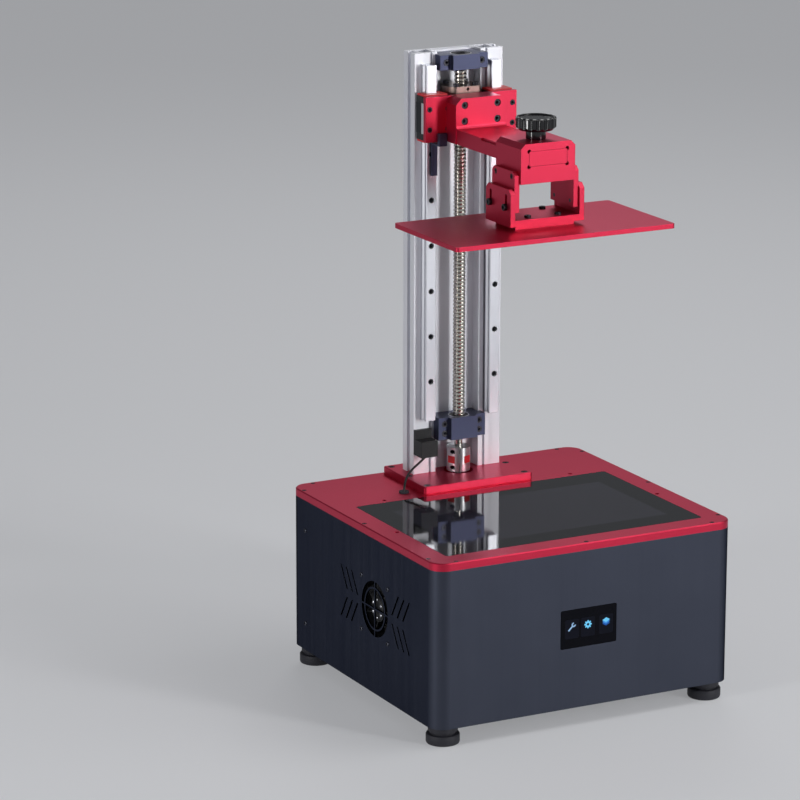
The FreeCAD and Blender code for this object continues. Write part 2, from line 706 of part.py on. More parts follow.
def power_inlet():
    body = new_body("power_inlet")
    x = d.inlet_shift
    inside = half_depth - d.inlet_depth
    add(body, "XZ", [inlet_outline(sized(0))], inside, half_depth)
    socket_z = d.inlet_centre - d.socket_drop
    half_w, half_h = d.socket_width / 2, d.socket_height / 2
    floor = half_depth - d.socket_depth
    cut(body, "XZ", [rectangle(x - half_w, x + half_w, socket_z - half_h, socket_z + half_h)],
        floor, half_depth)
    pins = [rectangle(x + n * d.pin_pitch - d.pin_width / 2, x + n * d.pin_pitch + d.pin_width / 2,
                      socket_z - d.pin_height / 2, socket_z + d.pin_height / 2) for n in (-1, 0, 1)]
    add(body, "XZ", pins, floor, floor + d.pin_length)
    half_w, half_h = d.rocker_width / 2, d.rocker_height / 2
    z = rocker_middle()
    bay = half_depth - d.rocker_bay
    cut(body, "XZ", [rectangle(x - half_w, x + half_w, z - half_h, z + half_h)], bay, half_depth)
    pin_bore = d.rocker_pin + 2 * d.fan_fit
    cut(body, "YZ", [circle(bay + d.rocker_bay / 2, z, pin_bore)],
        x - half_w - d.pin_width, x + half_w + d.pin_width)


def power_rocker():
    """Rocker about its own pivot, laid over to its off side."""
    body = new_body("power_rocker")
    half_w = d.rocker_width / 2 - d.rocker_gap
    reach = d.rocker_height / 2 - 2 * d.rocker_gap
    drop = d.rocker_bay / 2 - d.pin_width
    face = d.rocker_bay / 2 - d.rocker_gap
    shoulder = face - d.pin_width
    add(body, "YZ", [polygon((-drop, -reach / 2), (shoulder, -reach), (face - d.rocker_gap, 0),
                             (shoulder, reach), (-drop, reach / 2))], -half_w, half_w)
    pin_reach = d.rocker_width / 2 + d.pin_width - d.rocker_gap
    add(body, "YZ", [circle(0, 0, d.rocker_pin)], -pin_reach, pin_reach)
    body.Placement = Placement(Vector(), Rotation(Vector(1, 0, 0), SIZES["rocker_tilt"]))
    placed(body, d.inlet_shift, half_depth - d.rocker_bay / 2, rocker_middle())


# Side fan

def fan_frame():
    body = new_body("fan_frame")
    y, z = d.fan_centre_y, d.fan_centre_z
    half = d.fan_size / 2
    outside, inside = -inner_width, d.fan_depth - inner_width
    add(body, "YZ", [rectangle(y - half, y + half, z - half, z + half, d.fan_corner),
                     circle(y, z, d.fan_bore)], outside, inside)
    cut(body, "YZ", [circle(y, z, d.fan_hole) for y, z in fan_screw_places()], outside, inside)
    strut_base = inside - d.fan_strut_depth
    reach = d.fan_bore / 2
    strut = d.fan_strut / 2
    add(body, "YZ", [circle(y, z, d.fan_hub)], strut_base, inside)
    add(body, "YZ", [rectangle(y - reach, y + reach, z - strut, z + strut)], strut_base, inside)
    add(body, "YZ", [rectangle(y - strut, y + strut, z - reach, z + reach)], strut_base, inside)
    add(body, "YZ", [circle(y, z, d.fan_spindle)], strut_base - d.fan_hub_length / 2, strut_base)


def fan_rotor():
    """Hub and leaning blades, modelled along Z and laid along X."""
    body = new_body("fan_rotor")
    length = d.fan_hub_length
    inner_end = d.fan_strut_depth + d.fan_running_gap
    top = inner_end + length
    add(body, "XY", [circle(0, 0, d.fan_hub)], inner_end, top)
    half = d.fan_blade_lean / 2
    edge = d.fan_blade_thickness / 2
    low = inner_end + (length - d.fan_blade_chord) / 2
    high = low + d.fan_blade_chord
    root = d.fan_hub / 2 - d.fan_strut
    blade = add(body, "YZ", [polygon((-half - edge, low), (edge - half, low), (half + edge, high),
                                     (half - edge, high))], root, d.fan_blade_tip)
    repeated(body, blade, d.fan_blades)
    cut(body, "XY", [circle(0, 0, d.fan_spindle + 2 * d.fan_fit)], inner_end,
        inner_end + length / 2 + d.fan_running_gap)
    body.Placement = Placement(Vector(), Rotation(Vector(0, 1, 0), -90))
    placed(body, d.fan_depth - inner_width, d.fan_centre_y, d.fan_centre_z)


# Tower

def tower_base_plate():
    body = new_body("tower_base_plate")
    half = d.base_width / 2
    add(body, "XY", [rectangle(-half, half, d.base_front, d.base_front + d.base_depth, d.base_corner)],
        deck, tower_foot)
    bevelled(body, d.base_bevel, lies_at(tower_foot))
    cut(body, "XY", [circle(0, screw_y, d.shaft_opening)], deck, tower_foot)
    seat = tower_foot - d.base_screw_sink
    sink = d.base_screw_head + d.panel_clearance
    cut(body, "XY", grid(*base_screw_places(), sink), seat, tower_foot)
    cut(body, "XY", grid(*base_screw_places(), d.base_screw_shank), deck, seat)


def base_plate_screws():
    body = new_body("base_plate_screws")
    seat = tower_foot - d.base_screw_sink
    add(body, "XY", grid(*base_screw_places(), d.base_screw_head), seat, tower_foot)
    add(body, "XY", grid(*base_screw_places(), d.base_screw_shank), deck_base, seat)


def tower_column():
    """Hollow extrusion with a front channel for the screw and a T-slot down each side."""
    body = new_body("tower_column")
    half = d.column_width / 2
    front, back = d.column_front, column_back
    channel = d.channel_width / 2
    groove_in = d.groove_inset
    groove_out = groove_in + d.groove_width
    groove_floor = front + d.groove_depth
    middle = (front + back) / 2
    opening, inner = d.slot_opening / 2, d.slot_inner / 2
    lip, deep = half - d.slot_lip, half - d.slot_depth
    outline = mirrored([
        (channel, channel_floor), (channel, front), (groove_in, front), (groove_in, groove_floor),
        (groove_out, groove_floor), (groove_out, front), (half, front), (half, middle - opening),
        (lip, middle - opening), (lip, middle - inner), (deep, middle - inner), (deep, middle + inner),
        (lip, middle + inner), (lip, middle + opening), (half, middle + opening), (half, back)])
    wall = d.chamber_wall
    rear_chamber = rectangle(wall - channel, channel - wall, channel_floor + wall, back - wall)
    sides = []
    for side in (-1, 1):
        near, far = channel + wall, deep - wall
        xs = sorted((side * near, side * far), key=lambda size: size.value)
        sides.append(rectangle(*xs, groove_floor + wall, back - wall))
        for y in (front + d.core_edge, back - d.core_edge):
            sides.append(circle(side * (half - d.core_inset), y, d.core_hole))
    add(body, "XY", [outline, rear_chamber] + sides, tower_foot, column_top)


def rail_holes():
    return [rail_base + d.rail_hole_first + number * d.rail_hole_pitch
            for number in range(SIZES["rail_hole_count"])]


def rail_profile(x, clearance):
    """Section of a rail; a clearance opens it into the channel of a guide block."""
    foot_y = d.column_front
    wide = d.rail_width / 2 + clearance
    waist = d.rail_waist / 2 + clearance
    front = foot_y - d.rail_height - clearance
    bevel = wide - d.rail_bevel
    half_waist = (d.rail_width - d.rail_waist) / 2
    right = [(wide, foot_y), (wide, foot_y - d.rail_foot), (waist, foot_y - d.rail_foot - half_waist),
             (waist, foot_y - d.rail_shoulder + half_waist), (wide, foot_y - d.rail_shoulder),
             (wide, front + d.rail_bevel), (bevel, front)]
    corners = [(x + dx, y) for dx, y in right] + [(x - dx, y) for dx, y in reversed(right)]
    return polygon(*corners)


def rail(label, side):
    body = new_body(label)
    x = side * rail_x
    add(body, "XY", [rail_profile(x, sized(0))], rail_base, rail_base + d.rail_length)
    face = d.column_front - d.rail_height
    floor = face + d.rail_sink_depth
    cut(body, "XZ", grid([x], rail_holes(), d.rail_sink), face, floor)
    cut(body, "XZ", grid([x], rail_holes(), d.rail_hole), floor, d.column_front)


def rail_screws():
    body = new_body("rail_screws")
    seat = d.column_front - d.rail_height + d.rail_sink_depth
    head = d.rail_sink - 2 * d.rail_screw_clearance
    shank = d.rail_hole - 2 * d.rail_screw_clearance
    add(body, "XZ", grid(both(rail_x), rail_holes(), head), seat - d.rail_screw_head, seat)
    add(body, "XZ", grid(both(rail_x), rail_holes(), shank), seat, d.column_front)


def bearing_block(label, base, top, screw_levels):
    """Flanged block that seats in the column's channel and holds one bearing in an open-topped bore."""
    body = new_body(label)
    wing, tenon, nose = d.block_width / 2, d.block_tenon / 2, d.block_nose_width / 2
    face = d.column_front - d.block_front
    outline = mirrored([(nose, face - d.block_nose), (nose, face), (wing, face), (wing, d.column_front),
                        (tenon, d.column_front), (tenon, channel_floor)])
    add(body, "XY", [outline], base, top)
    cut(body, "XY", [circle(0, screw_y, d.screw_diameter)], base, top)
    cut(body, "XY", [circle(0, screw_y, d.bearing_diameter)], top - d.bearing_width, top)
    xs = both(d.block_screw_spacing / 2)
    seat = face + d.block_screw_sink
    cut(body, "XZ", grid(xs, screw_levels, d.block_screw_head + d.panel_clearance), face, seat)
    cut(body, "XZ", grid(xs, screw_levels, d.block_screw_shank), seat, channel_floor)


def upper_screw_levels():
    return [(upper_block_base + upper_block_top) / 2]


def lower_screw_levels():
    middle = (lower_block_base + lower_block_top) / 2
    return [middle + shift for shift in both(d.lower_screw_spacing / 2)]


def bearing(label, top):
    body = new_body(label)
    bore = d.screw_journal / 2 + d.journal_fit
    outer = d.bearing_diameter / 2
    turned(body, (bore, -d.bearing_width), (outer, -d.bearing_width), (outer, 0), (bore, 0))
    placed(body, 0, screw_y, top)


def bearing_block_screws():
    body = new_body("bearing_block_screws")
    levels = upper_screw_levels() + lower_screw_levels()
    xs = both(d.block_screw_spacing / 2)
    face = d.column_front - d.block_front
    seat = face + d.block_screw_sink
    add(body, "XZ", grid(xs, levels, d.block_screw_head), face, seat)
    add(body, "XZ", grid(xs, levels, d.block_screw_shank), seat, channel_floor)


# Ball screw drive

def ball_screw():
    body = new_body("ball_screw")
    tail, journal, thread = d.screw_tail / 2, d.screw_journal / 2, d.screw_diameter / 2
    foot = jaw_top
    lower_shoulder = lower_block_top - d.bearing_width
    shoulder = lower_block_top + d.end_gap
    upper_shoulder = upper_block_base - d.end_gap
    turned(body, (0, foot), (tail, foot), (tail, lower_shoulder), (journal, lower_shoulder),
           (journal, shoulder), (thread, shoulder), (thread, upper_shoulder), (journal, upper_shoulder),
           (journal, upper_block_top), (0, upper_block_top))
    placed(body, 0, screw_y, 0)


def jaw_clearance(along_y):
    """Cut that frees one side of a hub: the other hub's jaw and the spider leg on each side of it."""
    half = d.spider_leg / 2 + d.jaw_gap
    reach = d.coupling_diameter
    slope = math.sqrt(2)
    shift = half * slope
    corners = [(-shift, 0), (reach - shift, -reach), (reach * slope, 0), (reach - shift, reach)]
    if along_y:
        corners = [(y, x) for x, y in corners]
    return polygon(*corners)


def coupling_hub(label, bore, disc, jaws, jaws_along_x):
    """A clamping hub with a slit, a clamp screw's pocket, and two jaws that reach into the spider."""
    body = new_body(label)
    outer = d.coupling_diameter
    add(body, "XY", [circle(0, 0, outer), circle(0, 0, bore)], *disc)
    add(body, "XY", [circle(0, 0, outer), circle(0, 0, d.jaw_root)], *jaws)
    clearance = cut(body, "XY", [jaw_clearance(jaws_along_x)], *jaws)
    repeated(body, clearance, 2)
    low, high = disc
    slit = d.hub_slit / 2
    cut(body, "XY", [rectangle(-slit, slit, 0, outer)], low, high)
    pocket = circle(d.hub_screw_offset, (low + high) / 2, d.hub_screw)
    cut(body, "XZ", [pocket], d.hub_screw_depth, outer / 2)
    body.Placement = Placement(Vector(), Rotation(Vector(0, 0, 1), COUPLING_TURN))
    placed(body, 0, screw_y, 0)


def coupling_spider():
    body = new_body("coupling_spider")
    base, top = jaw_base + d.jaw_gap, jaw_top - d.jaw_gap
    core = d.jaw_root - 2 * d.jaw_gap
    add(body, "XY", [circle(0, 0, core), circle(0, 0, d.spider_bore)], base, top)
    half = d.spider_leg / 2
    leg = add(body, "XY", [rectangle(d.spider_bore / 2 + d.jaw_gap, d.coupling_diameter / 2 - d.jaw_gap,
                                     -half, half)], base, top)
    repeated(body, leg, 4)
    body.Placement = Placement(Vector(), Rotation(Vector(0, 0, 1), COUPLING_TURN + 45))
    placed(body, 0, screw_y, 0)


def motor_shaft():
    body = new_body("motor_shaft")
    add(body, "XY", [circle(0, 0, d.motor_shaft)], deck_base - d.motor_bore_depth, jaw_base)
    placed(body, 0, screw_y, 0)


def z_motor():
    body = new_body("z_motor")
    half = d.motor_size / 2
    base = deck_base - d.motor_length
    add(body, "XY", [rectangle(-half, half, screw_y - half, screw_y + half, d.motor_corner)],
        base, deck_base)
    add(body, "XY", [circle(0, screw_y, d.motor_pilot)], deck_base, deck_base + d.motor_pilot_height)
    cut(body, "XY", [circle(0, screw_y, d.motor_bore)], deck_base - d.motor_bore_depth,
        deck_base + d.motor_pilot_height)


# Limit sensor

def limit_sensor():
    """Slotted sensor: a forked body with a thinner mounting tail above it."""
    body = new_body("limit_sensor")
    x0 = -d.sensor_left
    x1 = x0 + d.sensor_width
    back = d.column_front
    base = sensor_base
    top = base + d.sensor_height
    add(body, "XY", [rectangle(x0, x1, back - d.sensor_depth, back)], base, top)
    add(body, "XY", [rectangle(x0, x1, back - d.sensor_tail_depth, back)], top, top + d.sensor_tail)
    slot_back = back - d.sensor_slot_depth
    cut(body, "XY", [rectangle(x1 - d.sensor_slot_reach, x1, slot_back - d.sensor_slot_width, slot_back)],
        base, top)


def rounded_route(points):
    """A wire of straight runs joined by arcs as large as their runs allow; prints the radii."""
    edges = []
    here = points[0]
    radii = []
    for before, corner, after in zip(points, points[1:], points[2:]):
        back, ahead = before - corner, after - corner
        turn = math.pi - back.getAngle(ahead)
        trim = 0.45 * min(back.Length, ahead.Length)
        radii.append(round(trim / math.tan(turn / 2), 1))
        back.normalize()
        ahead.normalize()
        entry, leave = corner + back * trim, corner + ahead * trim
        inward = back + ahead
        inward.normalize()
        radius = trim / math.tan(turn / 2)
        distance = math.hypot(radius, trim)
        edges.append(Part.LineSegment(here, entry).toShape())
        edges.append(Part.Arc(entry, corner + inward * (distance - radius), leave).toShape())
        here = leave
    edges.append(Part.LineSegment(here, points[-1]).toShape())
    print("lead radii, mm:", radii)
    return Part.Wire(edges)


def sensor_lead():
    """Lead from the sensor over the base plate's edge to the grommet in the deck."""
    start_level = sensor_base.value - SIZES["lead_start"]
    exit_point = Vector(SIZES["lead_exit_x"], SIZES["lead_exit_y"], start_level)
    end = Vector(SIZES["lead_hole_x"], SIZES["lead_hole_y"], deck.value)
    points = [exit_point, exit_point + Vector(-4, -1, -3), exit_point + Vector(-29, -9, -15),
              end + Vector(5, 6, 14), end + Vector(0, 0, 3), end]
    route = rounded_route(points)
    radius = SIZES["lead_diameter"] / 2
    section = Part.Wire(Part.makeCircle(radius, exit_point, points[1] - points[0]))
    body = doc.addObject("Part::Feature", "sensor_lead")
    body.Label = "sensor_lead"
    body.Shape = route.makePipeShell([section], True, False)
    sub_parts.append(body)
    expected = math.pi * radius ** 2 * route.Length
    print("lead volume over section times length:", round(body.Shape.Volume / expected, 4))


def lead_grommet():
    body = new_body("lead_grommet")
    bore = d.grommet_bore / 2
    neck, flange = d.grommet_diameter / 2, d.grommet_flange / 2
    turned(body, (bore, -d.deck_thickness), (neck, -d.deck_thickness), (neck, 0), (flange, 0),
           (flange, d.grommet_flange_height), (bore, d.grommet_flange_height))
    placed(body, d.lead_hole_x, d.lead_hole_y, deck)


def sensor_flag():
    """Bent flag: a tab on the carriage plate's face, a leg under it and a blade that drops into the slot."""
    body = new_body("sensor_flag")
    x0 = -d.flag_left
    blade_front = d.column_front - d.sensor_slot_depth - (d.sensor_slot_width + d.flag_thickness) / 2
    blade_back = blade_front + d.flag_thickness
    leg_top = carriage_base - d.flag_drop
    leg_base = leg_top - d.flag_thickness
    blade_end = leg_base - d.flag_blade
    tab_front = carriage_front - d.flag_tab_thickness
    x1 = x0 + d.flag_width
    add(body, "YZ", [polygon((tab_front, leg_base), (blade_front, leg_base), (blade_front, blade_end),
                             (blade_back, blade_end), (blade_back, leg_top), (tab_front, leg_top))], x0, x1)
    add(body, "YZ", [rectangle(tab_front, carriage_front, leg_base, carriage_base + d.flag_tab_height)],
        x0, x0 + d.flag_tab_width)


# Carriage

def guide_outline(x, inset):
    half = d.guide_width / 2 - inset
    return rectangle(x - half, x + half, guide_face + inset, d.column_front - d.guide_standoff - inset)


def guide_piece(body, inset, levels):
    """Saddles that run on both rails between the given levels."""
    for side in (-1, 1):
        x = side * rail_x
        add(body, "XY", [guide_outline(x, inset)], *levels)
        cut(body, "XY", [rail_profile(x, d.guide_clearance)], *levels)


def guide_ends():
    half = d.guide_length / 2
    return carriage_middle - half, carriage_middle + half


def guide_block(label, side):
    body = new_body(label)
    base, top = guide_ends()
    x = side * rail_x
    add(body, "XY", [guide_outline(x, sized(0))], base, top)
    cut(body, "XY", [rail_profile(x, d.guide_clearance)], base, top)


def block_end_caps():
    body = new_body("block_end_caps")
    base, top = guide_ends()
    guide_piece(body, d.cap_inset, (base - d.cap_length, base))
    guide_piece(body, d.cap_inset, (top, top + d.cap_length))


def block_seals():
    body = new_body("block_seals")
    base, top = guide_ends()
    low, high = base - d.cap_length, top + d.cap_length
    guide_piece(body, d.seal_inset, (low - d.seal_length, low))
    guide_piece(body, d.seal_inset, (high, high + d.seal_length))


def guide_screw_places():
    half = d.guide_hole_pitch / 2
    xs = [side * rail_x + shift for side in (-1, 1) for shift in both(half)]
    return xs, [carriage_middle + shift for shift in both(half)]


def arm_screw_places():
    low = carriage_base + d.arm_screw_rise
    return both(d.arm_screw_spacing / 2), [low, low + d.arm_screw_pitch]


def carriage_plate():
    body = new_body("carriage_plate")
    half = d.carriage_width / 2
    add(body, "XZ", [rectangle(-half, half, carriage_base, carriage_top)], carriage_front, guide_face)
    seat = carriage_front + d.carriage_screw_sink
    sink = d.carriage_screw_head + d.panel_clearance
    cut(body, "XZ", grid(*guide_screw_places(), sink), carriage_front, seat)
    cut(body, "XZ", grid(*guide_screw_places(), d.carriage_screw_shank), seat, guide_face)
    cut(body, "XZ", grid(*arm_screw_places(), d.arm_screw_shank), carriage_front, guide_face)


def nut_seat():
    """Block behind the carriage plate that the ball nut's flange is screwed to."""
    body = new_body("nut_seat")
    half = d.nut_seat_width / 2
    back = screw_y + d.nut_body / 2 + d.nut_seat_wall
    base = nut_level - d.nut_seat_height
    add(body, "XY", [rectangle(-half, half, guide_face, back)], base, nut_level)
    cut(body, "XY", [circle(0, screw_y, d.nut_body + 2 * d.nut_fit)], base, nut_level)


def ball_nut():
    body = new_body("ball_nut")
    bore, barrel, flange = d.nut_bore / 2, d.nut_body / 2, d.nut_flange / 2
    foot = -d.nut_length + d.nut_flange_height
    turned(body, (bore, foot), (barrel, foot), (barrel, 0), (flange, 0), (flange, d.nut_flange_height),
           (bore, d.nut_flange_height))
    reach, flat = d.nut_flange, d.nut_flat / 2
    for side in (-1, 1):
        edges = sorted((side * flat, side * reach), key=lambda size: size.value)
        cut(body, "XY", [rectangle(-reach, reach, *edges)], 0, d.nut_flange_height)
    grease = circle(0, d.nut_flange_height - d.nut_grease_drop, d.nut_grease_hole)
    cut(body, "XZ", [grease], -flat, -d.nut_body / 2)
    placed(body, 0, screw_y, nut_level)


def arm_bracket():
    """Mounting block, a slightly narrower forward arm, and the tongue for the build head."""
    body = new_body("arm_bracket")
    half = d.arm_width / 2
    arm = half - d.arm_setback
    add(body, "YZ", [polygon((head_back, tongue_base), (carriage_front, tongue_base),
                             (carriage_front, carriage_top), (arm_front, carriage_top),
                             (arm_front, tongue_top, d.arm_fillet), (head_back, tongue_top))], -arm, arm)
    add(body, "XZ", [rectangle(-half, half, tongue_base, carriage_top)], arm_front, carriage_front)
    inner = half - d.arm_bevel
    low = carriage_top - d.arm_bevel
    corners = [polygon((side * inner, carriage_top), (side * half, carriage_top), (side * half, low))
               for side in (-1, 1)]
    cut(body, "XZ", corners, arm_front, carriage_front)
    step = arm - d.arm_rebate
    drop = tongue_top - d.arm_rebate
    rebates = [polygon((side * step, drop), (side * half, drop), (side * half, tongue_top),
                       (side * step, tongue_top)) for side in (-1, 1)]
    cut(body, "XZ", rebates, head_back, head_back + d.arm_rebate_length)
    tongue = d.tongue_width / 2
    fit = d.tongue_fit
    add(body, "XZ", [rectangle(-tongue, tongue, tongue_base + fit, tongue_top - fit)], head_front, head_back)
    seat = arm_front + d.arm_screw_sink
    sink = d.arm_screw_head + d.panel_clearance
    cut(body, "XZ", grid(*arm_screw_places(), sink), arm_front, seat)
    cut(body, "XZ", grid(*arm_screw_places(), d.arm_screw_shank), seat, carriage_front)


def nut_screw_places():
    offset = d.nut_screw_circle / 2 / math.sqrt(2)
    return both(offset), [screw_y + shift for shift in both(offset)]


def carriage_screws():
    body = new_body("carriage_screws")
    seat = carriage_front + d.carriage_screw_sink
    add(body, "XZ", grid(*guide_screw_places(), d.carriage_screw_head), carriage_front, seat)
    add(body, "XZ", grid(*guide_screw_places(), d.carriage_screw_shank), seat, guide_face)
    seat = arm_front + d.arm_screw_sink
    add(body, "XZ", grid(*arm_screw_places(), d.arm_screw_head), arm_front + d.arm_screw_sink / 4, seat)
    add(body, "XZ", grid(*arm_screw_places(), d.arm_screw_shank), seat, guide_face)
    flange_top = nut_level + d.nut_flange_height
    add(body, "XY", grid(*nut_screw_places(), d.nut_screw_head), flange_top, flange_top + d.nut_screw_rise)


# Build head

def head_block():
    """Block with a window for the tongue, relieved at its corners, and a bore for the clamp screw."""
    body = new_body("head_block")
    half = d.head_width / 2
    bevel = d.head_bevel
    add(body, "XZ", [polygon((-half, head_base), (half, head_base), (half, head_top - bevel),
                             (half - bevel, head_top), (bevel - half, head_top), (-half, head_top - bevel))],
        head_front, head_back)
    window = d.tongue_width / 2 + d.tongue_fit
    cut(body, "XZ", [rectangle(-window, window, tongue_base, tongue_top)], head_front, head_back)
    cut(body, "XZ", grid(both(window), [tongue_base, tongue_top], d.relief_diameter), head_front, head_back)
    pocket = tongue_top + d.clamp_foot_height + d.clamp_travel
    cut(body, "XY", [circle(0, build_y, d.clamp_foot + 2 * d.clamp_fit)], tongue_top, pocket)
    cut(body, "XY", [circle(0, build_y, d.clamp_diameter + 2 * d.clamp_fit)], pocket, head_top)
    ys, levels = side_screw_places()
    reach = half - d.side_thickness
    for side in (-1, 1):
        span = sorted((side * reach, side * half), key=lambda size: size.value)
        cut(body, "YZ", grid(ys, levels, d.side_screw_shank), *span)


def side_screw_places():
    half = d.side_screw_pitch / 2
    return [build_y + shift for shift in both(half)], [side_base + d.side_height - d.side_screw_drop]


def level_screw_places():
    half = d.level_screw_spacing / 2
    return [build_y + shift for shift in both(half)], [side_base + d.level_screw_lift]


def outward(side, near, far):
    """The two X levels of a piece on one side, in rising order."""
    return sorted((side * near, side * far), key=lambda size: size.value)


def side_plate(label, side):
    body = new_body(label)
    inside = d.head_width / 2
    outside = inside + d.side_thickness
    half = d.side_depth / 2
    top = side_base + d.side_height
    bevel = d.side_bevel
    add(body, "YZ", [polygon((build_y - half, side_base), (build_y + half, side_base),
                             (build_y + half, top - bevel), (build_y + half - bevel, top),
                             (build_y - half + bevel, top), (build_y - half, top - bevel))],
        *outward(side, inside, outside))
    seat = outside - d.side_screw_sink
    sink = d.side_screw_head + d.panel_clearance
    cut(body, "YZ", grid(*side_screw_places(), sink), *outward(side, seat, outside))
    cut(body, "YZ", grid(*side_screw_places(), d.side_screw_shank), *outward(side, inside, seat))
    cut(body, "YZ", grid(*level_screw_places(), d.level_screw_shank), *outward(side, inside, outside))


def head_screws():
    body = new_body("head_screws")
    inside = d.head_width / 2
    outside = inside + d.side_thickness
    seat = outside - d.side_screw_sink
    wall = outside + d.level_clearance + d.bracket_wall + d.level_clearance
    for side in (-1, 1):
        add(body, "YZ", grid(*side_screw_places(), d.side_screw_head), *outward(side, seat, outside))
        add(body, "YZ", grid(*side_screw_places(), d.side_screw_shank),
            *outward(side, inside - d.side_thickness, seat))
        add(body, "YZ", grid(*level_screw_places(), d.level_screw_head),
            *outward(side, wall, wall + d.level_screw_rise))
        add(body, "YZ", grid(*level_screw_places(), d.level_screw_shank), *outward(side, inside, wall))


def clamp_screw():
    body = new_body("clamp_screw")
    foot, stud = d.clamp_foot / 2, d.clamp_diameter / 2
    base = d.clamp_gap - d.tongue_fit
    shoulder = base + d.clamp_foot_height
    top = head_top - tongue_top + d.knob_hub_height + d.knob_rim
    turned(body, (0, base), (foot, base), (foot, shoulder), (stud, shoulder), (stud, top), (0, top))
    placed(body, 0, build_y, tongue_top)


def clamp_knob():
    """Lobed grip with a domed crown on a round hub."""
    body = new_body("clamp_knob")
    bore = d.clamp_diameter / 2 + d.journal_fit
    hub, grip = d.knob_hub / 2, d.knob_diameter / 2
    rim = d.knob_hub_height + d.knob_rim
    crown = rim + d.knob_crown
    cap = rim + d.knob_gap
    turned(body, (bore, 0), (hub, 0), (hub, d.knob_hub_height), (grip - d.knob_undercut, d.knob_hub_height),
           (grip, d.knob_hub_height + d.knob_undercut), (grip, rim),
           (grip - d.knob_shoulder, rim + d.knob_shoulder), (d.knob_dome / 2, crown - d.knob_dome_drop),
           (0, crown), (0, cap), (bore, cap))
    reach = grip + d.knob_scallop / 2 - d.knob_scallop_depth
    scallop = cut(body, "XY", [circle(reach, 0, d.knob_scallop)], d.knob_hub_height, rim)
    repeated(body, scallop, d.knob_lobes)
    placed(body, 0, build_y, head_top + d.knob_gap)


# Build platform

def bracket_inside():
    return d.head_width / 2 + d.side_thickness + d.level_clearance


def level_bracket():
    """Open U whose slotted walls slide on the head's side plates."""
    body = new_body("level_bracket")
    inside = bracket_inside()
    outside = inside + d.bracket_wall
    top = bracket_base + d.bracket_height
    front, back = build_y - d.bracket_depth / 2, build_y + d.bracket_depth / 2
    add(body, "XZ", [mirrored([(outside, bracket_base), (outside, top), (inside, top),
                               (inside, bracket_floor_top)])], front, back)
    bevel = d.bracket_bevel
    corners = [polygon((front, top - bevel), (front + bevel, top), (front, top)),
               polygon((back, top - bevel), (back - bevel, top), (back, top))]
    ys, levels = level_screw_places()
    half = d.level_slot / 2
    low, high = levels[0], levels[0] + d.level_travel
    slots = [rectangle(y - half, y + half, low, high) for y in ys]
    for side in (-1, 1):
        wall = outward(side, inside, outside)
        cut(body, "YZ", corners, *wall)
        cut(body, "YZ", slots, *wall)
        cut(body, "YZ", grid(ys, (low, high), d.level_slot), *wall)
    cut(body, "XY", grid(*plate_screw_places(), d.plate_screw_shank), bracket_base, bracket_floor_top)


def plate_screw_places():
    return both(d.plate_screw_x / 2), [build_y + shift for shift in both(d.plate_screw_y / 2)]


def plate_spacer():
    body = new_body("plate_spacer")
    half_w, half_d = d.spacer_width / 2, d.spacer_depth / 2
    add(body, "XY", [rectangle(-half_w, half_w, build_y - half_d, build_y + half_d)], plate_top, bracket_base)
    cut(body, "XY", grid(*plate_screw_places(), d.plate_screw_shank), plate_top, bracket_base)


def build_plate():
    body = new_body("build_plate")
    half_w, half_d = d.plate_width / 2, d.plate_depth / 2
    add(body, "XY", [rectangle(-half_w, half_w, build_y - half_d, build_y + half_d, d.plate_corner)],
        print_face, plate_top)
    cut(body, "XY", grid(*plate_screw_places(), d.plate_screw_shank),
        plate_top - d.plate_screw_bite, plate_top)


def plate_screws():
    body = new_body("plate_screws")
    add(body, "XY", grid(*plate_screw_places(), d.plate_screw_head), bracket_floor_top,
        bracket_floor_top + d.plate_screw_rise)
    add(body, "XY", grid(*plate_screw_places(), d.plate_screw_shank), plate_top - d.plate_screw_bite,
        bracket_floor_top)


# Assembly

def build():
    for make in (cabinet_shell, bottom_plate, feet, top_plate, deck_screws, panel_screws, screen_glass,
                 lcd_panel, light_box, led_board, heat_sink, mainboard, power_supply, touch_glass,
                 touch_module, power_inlet, power_rocker, fan_frame, fan_rotor, tower_base_plate,
                 base_plate_screws, tower_column, rail_screws, bearing_block_screws, ball_screw,
                 coupling_spider, motor_shaft, z_motor, limit_sensor, sensor_lead, lead_grommet,
                 sensor_flag, block_end_caps, block_seals, carriage_plate, nut_seat, ball_nut,
                 arm_bracket, carriage_screws, head_block, head_screws, clamp_screw, clamp_knob,
                 level_bracket, plate_spacer, build_plate, plate_screws):
        make()
    for side, name in ((-1, "left"), (1, "right")):
        rail(f"rail_{name}", side)
        guide_block(f"guide_block_{name}", side)
        side_plate(f"side_plate_{name}", side)
    bearing_block("upper_bearing_block", upper_block_base, upper_block_top, upper_screw_levels())
    bearing_block("lower_bearing_block", lower_block_base, lower_block_top, lower_screw_levels())
    bearing("upper_bearing", upper_block_top)
    bearing("lower_bearing", lower_block_top)
    jaws = (jaw_base, jaw_top)
    coupling_hub("coupling_lower_hub", d.motor_shaft, (coupling_base, jaw_base), jaws, True)
    coupling_hub("coupling_upper_hub", d.screw_tail, (jaw_top, coupling_top), jaws, False)


def checked():
    """Stop if an object failed, a shape is not sound or a cut took nothing away."""
    doc.recompute()
    for item in doc.Objects:
        if {"Invalid", "Error"} & set(item.State):
            raise RuntimeError(f"{item.Label} failed: {item.State}")
        if item.TypeId == "PartDesign::Pocket":
            if item.Shape.Volume >= item.BaseFeature.Shape.Volume - 0.01:
                raise RuntimeError(f"{item.Label} cut nothing")
    for body in sub_parts:
        if body.Shape.isNull() or not body.Shape.isValid() or not body.Shape.Solids:
            raise RuntimeError(f"{body.Label} is not a sound solid")


